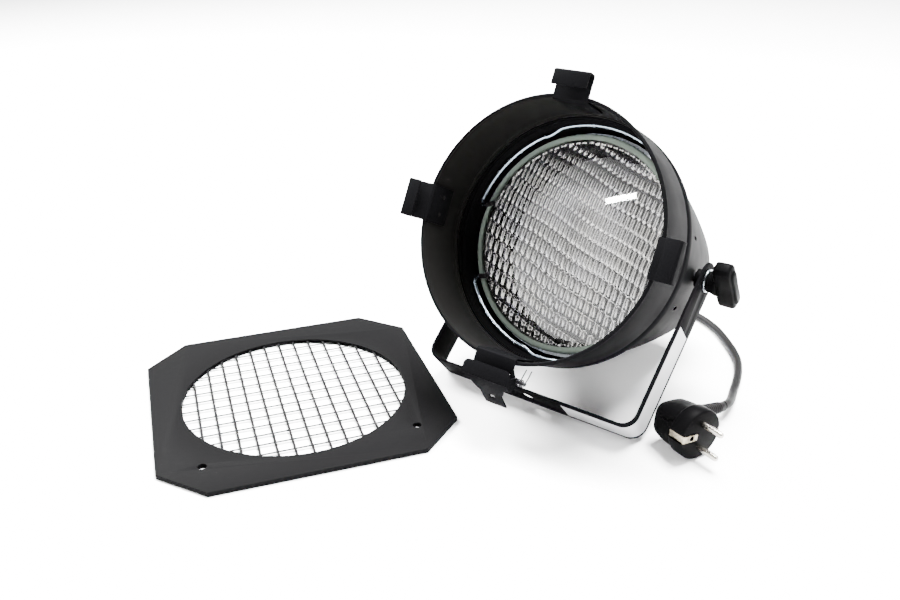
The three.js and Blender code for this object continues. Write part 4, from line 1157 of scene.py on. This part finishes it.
    def cap(self) -> None:
        """Makes the dished rear cap, with the gland's hole."""
        front, opening = self.rear + self.cap_gap, self.cap_opening
        back = front + self.cap_dish
        outline = [
            (0, back - 1.2), (opening - 6, back - 1.2), (opening - 4.9, back - 1.5),
            (opening - 1.9, front + 0.5), (opening - 0.9, front), (opening + 13.6, front),
            (opening + 14, front + 0.4),
            (opening + 13.8, front + 1.05), (opening + 13.2, front + 1.2), (opening + 0.5, front + 1.2),
            (opening - 0.6, front + 1.8), (opening - 3.9, back - 0.8), (opening - 5, back - 0.1),
            (opening - 6.2, back), (0, back),
        ]
        made = lathe("rear_cap_fine", outline, 120, self.place, COAT)
        hole = [(0, front - 4), (7.9, front - 4), (7.9, back + 12), (0, back + 12)]
        carve(made, [lathe("gland_cutter", hole, 40, self.gland_place(), COAT)])
        settle(made, "root", Slot.COAT, "rear_cap")

    def screws(self) -> None:
        """Makes the cap's screws: one cross-headed screw repeated round the cap."""
        front = self.rear + self.cap_gap
        head = front + 1.5
        profile = [(0, front - 5.9), (1.2, front - 5.9), (1.8, front - 5.2), (1.8, head), (3.45, head),
                   (3.6, head + 0.2), (3.45, head + 1.0), (2.9, head + 1.75), (1.9, head + 2.2),
                   (0, head + 2.3)]
        own = Matrix.Identity(4)
        shape = lathe("screw_shape", profile, 32, own, ZINC)
        bars = (("cross_a", (4.2, 2.2, 0.8)), ("cross_b", (0.8, 2.2, 4.2)))
        carve(shape, [block(name, size, (0, head + 2.2, 0), own, ZINC) for name, size in bars])
        graph = Graph("cap_screws", {"Circle": self.screw_circle})
        turn = graph.maths("ADD", graph.maths("MULTIPLY", graph.index(), math.tau / 3), math.pi / 2)
        circle = graph.value("Circle")
        across, up = (graph.maths("MULTIPLY", graph.maths(f, turn), circle) for f in ("COSINE", "SINE"))
        points = graph.set_at(graph.row(3), graph.xyz(across, 0.0, up))
        spin = graph.xyz(y=graph.maths("MULTIPLY", turn, 1.7))
        placed = graph.repeat(points, graph.shape(shape), Rotation=spin)
        made = graph.run("cap_screws_fine", placed, ZINC, self.place)
        bpy.data.objects.remove(shape)
        settle(made, "root", Slot.ZINC, "cap_screw_1", "cap_screw_2", "cap_screw_3")

    def gland_place(self) -> Matrix:
        """Returns the gland's matrix."""
        return self.place @ Matrix.Translation((self.gland_at[0], 0, self.gland_at[1]))

    def dots(self) -> None:
        """Sets the weld dots inside the tube: by the latch and on each clip's tab."""
        spots, aims = [], []
        wall, tab = self.tube_radius - self.sheet, 97.05
        for degrees, s in ((-98, 12), (-82, 12), (-97, 21), (-83, 21)):
            a = math.radians(degrees)
            spots.append(self.place @ Vector((wall * math.cos(a), s, wall * math.sin(a))))
            aims.append(Vector((-math.cos(a), 0, -math.sin(a))))
        for degrees in (0, 90, 180):
            a = math.radians(degrees)
            out, side = Vector((math.cos(a), 0, math.sin(a))), Vector((-math.sin(a), 0, math.cos(a)))
            for across in (-7, 7):
                spots.append(self.place @ (out * tab + side * across + Vector((0, 15, 0))))
                aims.append(-out)
        turned = self.place.to_3x3() * (1 / MM)
        seed = aimed_points("dot_seed", spots, [turned @ aim for aim in aims])
        graph = Graph("weld_dots", {"Size": 1.9 * MM, "Height": 0.4 * MM})
        ball = graph.add("GeometryNodeMeshUVSphere", Segments=20, Rings=10, Radius=1.0)
        aim = graph.add("GeometryNodeInputNamedAttribute", {"data_type": "FLOAT_VECTOR"}, Name="aim")
        align = graph.add("FunctionNodeAlignRotationToVector", {"axis": "Z"}, Vector=aim.outputs[0])
        size = graph.xyz(graph.value("Size"), graph.value("Size"), graph.value("Height"))
        placed = graph.repeat(graph.entry.outputs[0], ball.outputs[0], Rotation=align.outputs[0], Scale=size)
        settle(graph.run("weld_dots", placed, COAT_INSIDE, seed=seed), "root", Slot.COAT)

    def gland(self) -> None:
        """Makes the sleeve where the cord leaves and softens the gland and its nut."""
        flange, body, gap = 4, 10.5, 0.3
        start = self.rear + self.cap_gap + self.cap_dish + flange + body + gap
        outline = [(0, start), (5.6, start), (5.9, start + 0.4), (5.5, start + 3), (4.4, start + 21),
                   (4.1, start + 21.8), (3.7, start + 22), (0, start + 22)]
        sleeve = lathe("gland_sleeve_fine", outline, 40, self.gland_place(), RUBBER)
        settle(sleeve, "root", Slot.RUBBER, "gland_sleeve")
        for node in ("cable_gland", "gland_locknut"):
            settle(softened(node, PLASTIC, 0.3), "root", Slot.PLASTIC, node)

    def build(self) -> None:
        """Makes the whole can."""
        self.tube()
        self.housing()
        self.cap()
        self.screws()
        self.dots()
        self.gland()
        for node in ("clip_right", "clip_top", "clip_left", "latch_bracket"):
            settle(softened(node, COAT, 0.35), "root", Slot.COAT, node)
        settle(softened("latch_pin", SPRING, 0.25), "root", Slot.SPRING, "latch_pin")


# ---- lamp -------------------------------------------------------------------------


@dataclass
class Lamp:
    """The sealed lamp: fluted lens and silvered bowl.

    Args:
        place: the can's matrix.
        radius: of the lamp's face. All sizes are in millimetres.
        front: from the can's rim back to the lens.
        edge: thickness of the lens at its rim.
        wall: thickness of the bowl's glass.
        dish: how far the lens stands out in its middle.
        clear: radius of the lens inside its rim.
        fluted: radius of the flutes.
        lean: the flutes' turn, in degrees.
        band: height of one row of flutes.
        height: depth of the flutes.
        grid: the flutes' finest step.
        sides: steps round the lens.
    """

    place: Matrix
    radius: float = 89.0
    front: float = 65.4
    edge: float = 6.6
    wall: float = 2.6
    dish: float = 6.4
    clear: float = 84.0
    fluted: float = 83.6
    lean: float = -17.5
    band: float = 10.6
    height: float = 1.5
    grid: float = 0.85
    sides: int = 480

    def flutes(self, x: np.ndarray, z: np.ndarray) -> np.ndarray:
        """Height of the flutes pressed in the lens, in millimetres.

        Args:
            x: across the lens.
            z: up the lens.

        Returns:
            Heights from 0 to about self.height, coarse below and fine towards the upper left.
        """
        a = math.radians(self.lean)
        along = x * math.cos(a) + z * math.sin(a)
        over = -x * math.sin(a) + z * math.cos(a)
        over = over + 0.7 * np.sin(along * 0.09 + 0.6)
        row = np.floor(over / self.band)
        part = over / self.band - row
        level = (row + 0.5) * self.band
        pitch = np.interp(level, [-80, -25, 20, 80], [7.4, 6.2, 4.4, 5.6])
        shift = (row * 0.37 + 0.21 * np.sin(row * 2.3)) % 1.0
        phase = along / pitch + shift + 0.45 * (part - 0.5)
        ripple = np.abs(np.cos(math.pi * phase))
        crown = np.sqrt(np.clip(1 - np.abs(2 * part - 1) ** 3.2, 0, 1))
        crown = 1 - (1 - crown) * np.interp(level, [-80, -10, 30, 80], [1.0, 0.8, 0.35, 0.7])
        return self.height * pitch / 6.0 * (0.2 * crown + 0.8 * crown * ripple)

    def lens(self) -> None:
        """Makes the lens: a smooth shallow dome, flutes pressed in its back and a plain rim."""
        sides, back = self.sides, self.front + self.edge
        angles = np.arange(sides) * math.tau / sides
        verts: list[Point] = [(0.0, self.front - self.dish, 0.0)]
        faces: list[tuple[int, ...]] = []
        kinds: list[int] = []
        last = 0

        def ring(r: float, level: float | np.ndarray, kind: int) -> None:
            """Adds a ring of points at a level and skins to it in the kind's finish."""
            nonlocal last
            level = np.broadcast_to(level, (sides,))
            verts.extend(zip((r * np.cos(angles)).tolist(), level.tolist(), (r * np.sin(angles)).tolist()))
            new = len(verts) - sides
            for i in range(sides):
                j = (i + 1) % sides
                faces.append((last + i, last + j, new + j, new + i) if last else (0, new + j, new + i))
            kinds.extend([kind] * sides)
            last = new

        dome, flutes, rim = range(3)
        for k in range(1, 25):
            r = self.clear * k / 24
            ring(r, self.front - self.dish + (self.dish - 0.55) * (r / self.clear) ** 2, dome)
        outside = self.radius
        for r, s in ((85.0, -0.3), (86.8, -0.05), (outside - 1, 0.35), (outside - 0.3, 0.95), (outside, 1.7),
                     (outside, 6.2), (outside - 0.4, self.edge), (84.2, self.edge)):
            ring(r, self.front + s, rim)
        for k in range(int(self.fluted / self.grid), 0, -1):
            r = k * self.grid
            fade = min(max((self.fluted - r) / 1.6, 0.0), 1.0)
            base = back - 7.0 + 7.0 * (r / self.fluted) ** 2 + 0.75 * (r / self.fluted < 0.98)
            ring(r, base - fade * self.flutes(r * np.cos(angles), r * np.sin(angles)), flutes)
        verts.append((0.0, back - 7.0 - 0.3, 0.0))
        faces += [(last + i, last + (i + 1) % sides, len(verts) - 1) for i in range(sides)]
        kinds += [flutes] * sides
        made = solid("lamp_lens_fine", verts, faces, self.place, GLASS, 60.0)
        for finish in (FLUTES, RIM_GLASS):
            made.data.materials.append(finish.build())
        made.data.polygons.foreach_set("material_index", kinds)
        made.data.update()
        settle(made, "lamp", Slot.GLASS, "lamp_lens")

    def bowl(self) -> None:
        """Makes the silvered bowl, its neck closed at the back."""
        front = self.front + self.edge + 0.3
        depth, mouth, neck, end = 60.0, 85, 19.0, front + 76
        outer = [(89.0, front), (89.0, front + 1.6), (88.6, front + 2.0), (85.4, front + 2.4)]
        for i in range(1, 25):
            a = math.pi / 2 * i / 24 * 0.86
            outer.append((mouth * math.cos(a), front + 2.4 + depth * math.sin(a)))
        start = outer[-1][1] + 1.5
        outer += [(neck + 0.3, start), (neck, start + 1), (neck, end - 0.6), (neck - 0.6, end), (0, end)]
        inside, deep = mouth - self.wall, depth - self.wall - 1
        turns = [math.pi / 2 * i / 28 for i in range(28)]
        inner = [(inside * math.cos(a), front + deep * math.sin(a)) for a in turns]
        outline = [(0, front + deep), *reversed(inner), *outer]
        made = lathe("lamp_reflector_fine", outline, 144, self.place, SILVER, 50)
        settle(made, "lamp", Slot.SILVER, "lamp_reflector")

    def build(self) -> None:
        """Makes the lamp."""
        self.lens()
        self.bowl()


@dataclass
class RetainingRing:
    """The sprung wire ring in front of the lamp, with its kinks and end sleeves.

    Args:
        place: the can's matrix.
        radius: of the wire's centreline on the left, in millimetres.
        step: how much wider the ring is on the right, between its kinks.
        kinks: the kinks' places, in degrees.
        wire: the wire's radius.
        level: from the rim back to the ring.
        ends: the ends' places, in degrees.
    """

    place: Matrix
    radius: float = 93.0
    step: float = 2.2
    kinks: Row = (119.5, -99.5)
    wire: float = 1.5
    level: float = 62.7
    ends: Row = (170.0, -146.0)

    def centre(self, degrees: float) -> Vector:
        """Returns the wire's centreline at an angle, stepped out towards the wall between its kinks."""
        first, last = self.kinks
        rise = min(max((first - 2 - degrees) / 6, 0), 1) * min(max((degrees - last - 2) / 6, 0), 1)
        reach = self.radius + self.step * rise * rise * (3 - 2 * rise)
        for kink in self.kinks:
            reach -= 0.8 * math.exp(-(((degrees - kink) / 2.5) ** 2))
        a = math.radians(degrees)
        return Vector((reach * math.cos(a), self.level, reach * math.sin(a)))

    def end(self, degrees: float, lean: float) -> list[Vector]:
        """Turns an end of the wire inwards.

        Args:
            degrees: where the end is.
            lean: how far the tip leans past it.

        Returns:
            The bend and the tip.
        """
        a, b = math.radians(degrees), math.radians(degrees + lean)
        r = self.radius
        return [Vector(((r - 4) * math.cos(a), self.level - 1.2, (r - 4) * math.sin(a))),
                Vector(((r - 8) * math.cos(b), self.level - 3.4, (r - 8) * math.sin(b)))]

    def build(self) -> None:
        """Makes the ring and its sleeves."""
        upper, lower = self.end(self.ends[0] + 2, -1), self.end(self.ends[1] - 2, 1)
        steps = 170
        sweep = self.ends[1] - self.ends[0]
        arc = [self.centre(self.ends[0] + sweep * i / steps) for i in range(steps + 1)]
        path = curve_through([upper[1], upper[0], *arc, lower[0], lower[1]], 1.6)
        wire = tube("retaining_ring_fine", path, self.wire, 16, self.place, RING_WIRE, 0.3)
        settle(wire, "lamp_ring", Slot.ZINC, "retaining_ring")
        for name, (bend, tip) in (("upper", upper), ("lower", lower)):
            out = (tip - bend).normalized()
            line = [tip + out * (0.3 + 10 * k / 6) for k in range(7)]
            sleeve = tube(f"ring_sleeve_{name}_fine", line, 2.1, 24, self.place, RUBBER, 0.5)
            settle(sleeve, "lamp_ring", Slot.RUBBER, f"ring_sleeve_{name}")


@dataclass
class Latch:
    """The sprung flap below the mouth.

    Args:
        place: the can's matrix.
        pin: the pin's radius from the can's axis and its place behind the rim, in millimetres.
        coil: radius of the spring's turns.
        wire: radius of its wire.
        pitch: from turn to turn.
        start: where the turns start along the pin.
        turns: number of turns.
    """

    place: Matrix
    pin: Row = (112.5, 2.5)
    coil: float = 2.4
    wire: float = 0.45
    pitch: float = 1.5
    start: float = 22.2
    turns: int = 3

    def build(self) -> None:
        """Softens the flap and winds its spring."""
        settle(softened("latch_flap", COAT, 0.3), "latch", Slot.COAT, "latch_flap")
        m = self.place @ Matrix.Rotation(math.pi / 2, 4, "Y")
        r, s = self.pin
        points = [(r - 10, s + 7.5, self.start), (r - 5, s + 5, self.start)]
        for i in range(12 * self.turns + 1):
            a = math.pi * 0.5 + math.tau * i / 12
            along = self.start + self.pitch * i / 12
            points.append((r + self.coil * math.cos(a), s + self.coil * math.sin(a), along))
        end = self.start + self.pitch * self.turns
        points += [(r - 4, s + 4.6, end + 0.2), (r - 10, s + 7.2, end + 0.2)]
        made = tube("latch_spring_fine", curve_through(points, 0.5), self.wire, 10, m, SPRING, 0.1)
        settle(made, "latch", Slot.SPRING, "latch_spring")


# ---- yoke and pivots ----------------------------------------------------------------


@dataclass
class Yoke:
    """The bail, with a plain label round the outside of its right bend.

    Args:
        half: from the can's middle to the outside of an arm, in millimetres.
        length: from the pivots to the outside of the base.
        side: half the bar's width, as the base's lower edge stands on the floor.
        bend: outside radius of its bends.
        width: the label's.
        thick: the label's thickness.
        lift: the label's gap over the bar.
    """

    half: float
    length: float = 138.7
    side: float = 14.45
    bend: float = 12.3
    width: float = 21.0
    thick: float = 0.16
    lift: float = 0.02

    def matrix(self) -> Matrix:
        """Returns the matrix from the yoke's millimetres (X across, Y from pivot to base) to the frame."""
        pivot = joint_place("yoke_tilt")
        height = pivot.z / MM
        swing = math.asin(height / math.hypot(self.length, self.side)) - math.atan2(self.side, self.length)
        return Matrix.Translation(pivot) @ Matrix.Rotation(math.pi + swing, 4, "X") @ Matrix.Scale(MM, 4)

    def label(self) -> None:
        """Makes the label: a thin strip down the arm, round the bend and along the base."""
        path = [(self.half + self.lift, 48 + i * 6.0) for i in range(13)]
        centre, reach = (self.half - self.bend, self.length - self.bend), self.bend + self.lift
        for a in (math.pi / 2 * i / 12 for i in range(13)):
            path.append((centre[0] + reach * math.cos(a), centre[1] + reach * math.sin(a)))
        path += [(centre[0] - 10 * k, self.length + self.lift) for k in range(1, 6)]
        w, loops = self.width / 2, []
        for i, (x, y) in enumerate(path):
            a, b = path[max(i - 1, 0)], path[min(i + 1, len(path) - 1)]
            d = Vector((b[0] - a[0], b[1] - a[1])).normalized()
            out = Vector((d.y, -d.x))
            o = (x + out.x * self.thick, y + out.y * self.thick)
            loops.append([(x, y, -w), (o[0], o[1], -w), (o[0], o[1], w), (x, y, w)])
        settle(rings("yoke_label", loops, self.matrix(), LABEL), "yoke", None)

    def build(self) -> None:
        """Softens the bail and lays its label on it."""
        settle(softened("yoke", COAT, 0.45), "yoke", Slot.COAT, "yoke")
        self.label()


@dataclass
class Knob:
    """One wing knob with its washer and spacer.

    Args:
        side: 1 for the right knob and -1 for the left one.
        half: from the can's middle to the outside of the yoke's arm, in millimetres.
        tilt: the can's tilt, in degrees.
        lean: the wing's turn about the bolt, in degrees.
        wing: how far the wing stands out, its thickness and its length.
    """

    side: int
    half: float
    tilt: float = 28.4
    lean: float = 31.0
    wing: Point = (16.0, 14.0, 48.0)

    def matrix(self) -> Matrix:
        """Returns the matrix from the pivot's millimetres (X outwards) to the frame."""
        turn = Matrix.Rotation(-math.radians(self.tilt), 4, "X")
        if self.side < 0:
            turn = turn @ Matrix.Rotation(math.pi, 4, "Y")
        return Matrix.Translation(joint_place("yoke_tilt")) @ turn @ Matrix.Scale(MM, 4)

    def wing_piece(self, name: str, start: float, m: Matrix) -> bpy.types.Object:
        """Makes the waisted wing with a raised ridge.

        Args:
            name: the object's name.
            start: where it grows from the hub.
            m: the knob's matrix.

        Returns:
            The wing.
        """
        deep, thick, long = self.wing
        h, t = long / 2, thick / 2
        upper = [(h, 0), (h - 0.6, t - 3.0), (h - 3.5, t - 0.6), (h * 0.55, t), (h * 0.2, t - 0.9)]
        lower = [(-h + 3.5, -t + 0.6), (-h * 0.55, -t), (-h * 0.2, -t + 0.9), (h * 0.2, -t + 0.9),
                 (h * 0.55, -t), (h - 3.5, -t + 0.6), (h - 0.6, -t + 3.0)]
        outline = [*lower, *upper, *((-x, y) for x, y in reversed(upper)), (-h + 0.6, -t + 3.0)]
        turns = ((-self.side * math.radians(self.lean), "X"), (math.pi / 2, "Y"), (math.pi / 2, "Z"))
        base = m @ Matrix.Translation((start, 0, 0))
        for angle, axis in turns:
            base = base @ Matrix.Rotation(angle, 4, axis)
        layers = [(0.8, 0.0), (0.93, 0.9), (1.0, 2.6), (1.0, deep - 4.2), (0.9, deep - 2.4),
                  (0.62, deep - 1.7), (0.55, deep - 0.5), (0.42, deep)]
        loops = [[(x * (1 - (1 - scale) * 0.5), y * scale, z) for x, y in outline] for scale, z in layers]
        return rings(name, loops, base, PLASTIC, 50)

    def build(self) -> None:
        """Makes the knob: a flared hub, its wing and the bolt's hole."""
        m = self.matrix()
        name = "right" if self.side > 0 else "left"
        hub0 = self.half + 1.8
        axis = m @ Matrix.Rotation(-math.pi / 2, 4, "Z")
        outline = [(0, hub0), (7.9, hub0), (8.5, hub0 + 0.5), (8.9, hub0 + 3), (9.8, hub0 + 6),
                   (10.3, hub0 + 7.6), (10.3, hub0 + 8.4), (9.8, hub0 + 8.9), (0, hub0 + 8.9)]
        hub = lathe(f"knob_hub_{name}", outline, 48, axis, PLASTIC)
        carve(hub, [self.wing_piece(f"knob_wing_{name}", hub0 + 7, m)], Carving.WELD)
        bore = [(0, hub0 - 2), (4.3, hub0 - 2), (4.3, hub0 + 11.3), (0, hub0 + 11.3)]
        carve(hub, [lathe("bore", bore, 32, axis, PLASTIC)])
        rounded(hub, 0.5, 28, 50)
        hub.name = f"tilt_knob_{name}_fine"
        settle(hub, f"knob_{name}", Slot.PLASTIC, f"tilt_knob_{name}")
        settle(softened(f"pivot_washer_{name}", ZINC, 0.2), "yoke", Slot.ZINC, f"pivot_washer_{name}")
        settle(softened(f"pivot_spacer_{name}", PLASTIC, 0.4), "root", Slot.PLASTIC, f"pivot_spacer_{name}")


# ---- filter frame ----------------------------------------------------------------------


@dataclass
class FilterFrame:
    """The colour-filter frame: tray, backing plate and a welded wire grille between them.

    Args:
        reach: radius of the grille, in millimetres.
        pitch: from wire to wire.
        bar: a wire's width.
        flat: a wire's height.
        levels: heights of the lower and the upper wires.
        turn: the frame's turn on the floor, in degrees.
    """

    reach: float = 95.4
    pitch: float = 13.2
    bar: float = 2.1
    flat: float = 0.72
    levels: Row = (1.5, 1.95)
    turn: float = 55.5

    def matrix(self) -> Matrix:
        """Returns the matrix from the frame's millimetres to the part's frame."""
        lo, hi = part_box("filter_grille")
        centre = (Vector(lo) + Vector(hi)) / 2
        turn = Matrix.Rotation(math.radians(self.turn), 4, "Z")
        return Matrix.Translation((centre.x, centre.y, 0)) @ turn @ Matrix.Scale(MM, 4)

    def grille(self) -> None:
        """Makes the grille: one flattened wire repeated both ways, each cut to the circle's chord."""
        count = 2 * int(self.reach / self.pitch) + 1
        graph = Graph("grille_wires", {"Pitch": self.pitch, "Reach": self.reach, "Bar": self.bar})
        rod = graph.add("GeometryNodeMeshCylinder", Vertices=12, Radius=0.5, Depth=1.0)
        laid = graph.moved(rod.outputs[0], Rotation=(0, math.pi / 2, 0))
        from_middle = graph.maths("SUBTRACT", graph.index(), (count - 1) / 2)
        at = graph.maths("MULTIPLY", from_middle, graph.value("Pitch"))
        reach_2, at_2 = (graph.maths("MULTIPLY", v, v) for v in (graph.value("Reach"), at))
        chord = graph.maths("MULTIPLY", graph.maths("SQRT", graph.maths("SUBTRACT", reach_2, at_2)), 2.0)
        points = graph.set_at(graph.row(count), graph.xyz(y=at))
        placed = graph.repeat(points, laid, Scale=graph.xyz(chord, graph.value("Bar"), self.flat))
        both = graph.add("GeometryNodeJoinGeometry")
        for level, turn in zip(self.levels, (0.0, math.pi / 2)):
            layer = graph.moved(placed, Translation=(0, 0, level), Rotation=(0, 0, turn))
            graph.tree.links.new(layer, both.inputs[0])
        made = graph.run("filter_grille_fine", both.outputs[0], MESH_WIRE, self.matrix())
        settle(made, "filter_frame", Slot.WIRE, "filter_grille")

    def build(self) -> None:
        """Makes the whole frame."""
        for node, width in (("filter_frame_tray", 0.45), ("filter_frame_back", 0.2)):
            settle(softened(node, COAT_FRAME, width), "filter_frame", Slot.COAT, node)
        self.grille()


# ---- the rest of the frame ---------------------------------------------------------------

CAD_FINISHES: dict[str, Finish] = {
    "lamp_seat_ring": ZINC,
    "lamp_filament": TUNGSTEN,
    "lamp_base": CERAMIC,
    "lamp_prong_left": NICKEL,
    "lamp_prong_right": NICKEL,
    "lampholder": CERAMIC,
    "terminal_block": CERAMIC,
    "lead_live": RUBBER,
    "lead_neutral": RUBBER,
    "inner_cord": RUBBER,
    "pivot_nut_right": ZINC,
    "pivot_nut_left": ZINC,
    "tilt_bolt_right": ZINC,
    "tilt_bolt_left": ZINC,
}


def paint_frame() -> None:
    """Gives the CAD nodes that nothing replaces their finishes, and the rest the black coat."""
    for name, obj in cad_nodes().items():
        obj.data.materials.clear()
        obj.data.materials.append(CAD_FINISHES.get(name, COAT).build())


def main() -> None:
    """Builds the looks round the frame."""
    logging.basicConfig(level=logging.INFO, format="%(message)s")
    _frame.update(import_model())
    studio = Studio()
    studio.camera()
    place = can_place()
    pivot = joint_place("yoke_tilt") / MM
    can = Can(place)
    half = can.housing_radius(PIVOT_PLACE) + ARM_GAP
    plug = Plug((pivot.x + half + PLUG_BESIDE, pivot.y - PLUG_AHEAD, PLUG_UP))
    can.build()
    MainsCord().build([*plug.build(), bpy.data.objects["gland_sleeve_fine"]])
    Lamp(place).build()
    RetainingRing(place).build()
    Latch(place).build()
    Yoke(half).build()
    for side in (1, -1):
        Knob(side, half).build()
    FilterFrame().build()
    paint_frame()
    for softbox in SOFTBOXES:
        softbox.build()
    studio.surround()
    studio.floor()


if __name__ == "__main__":
    main()
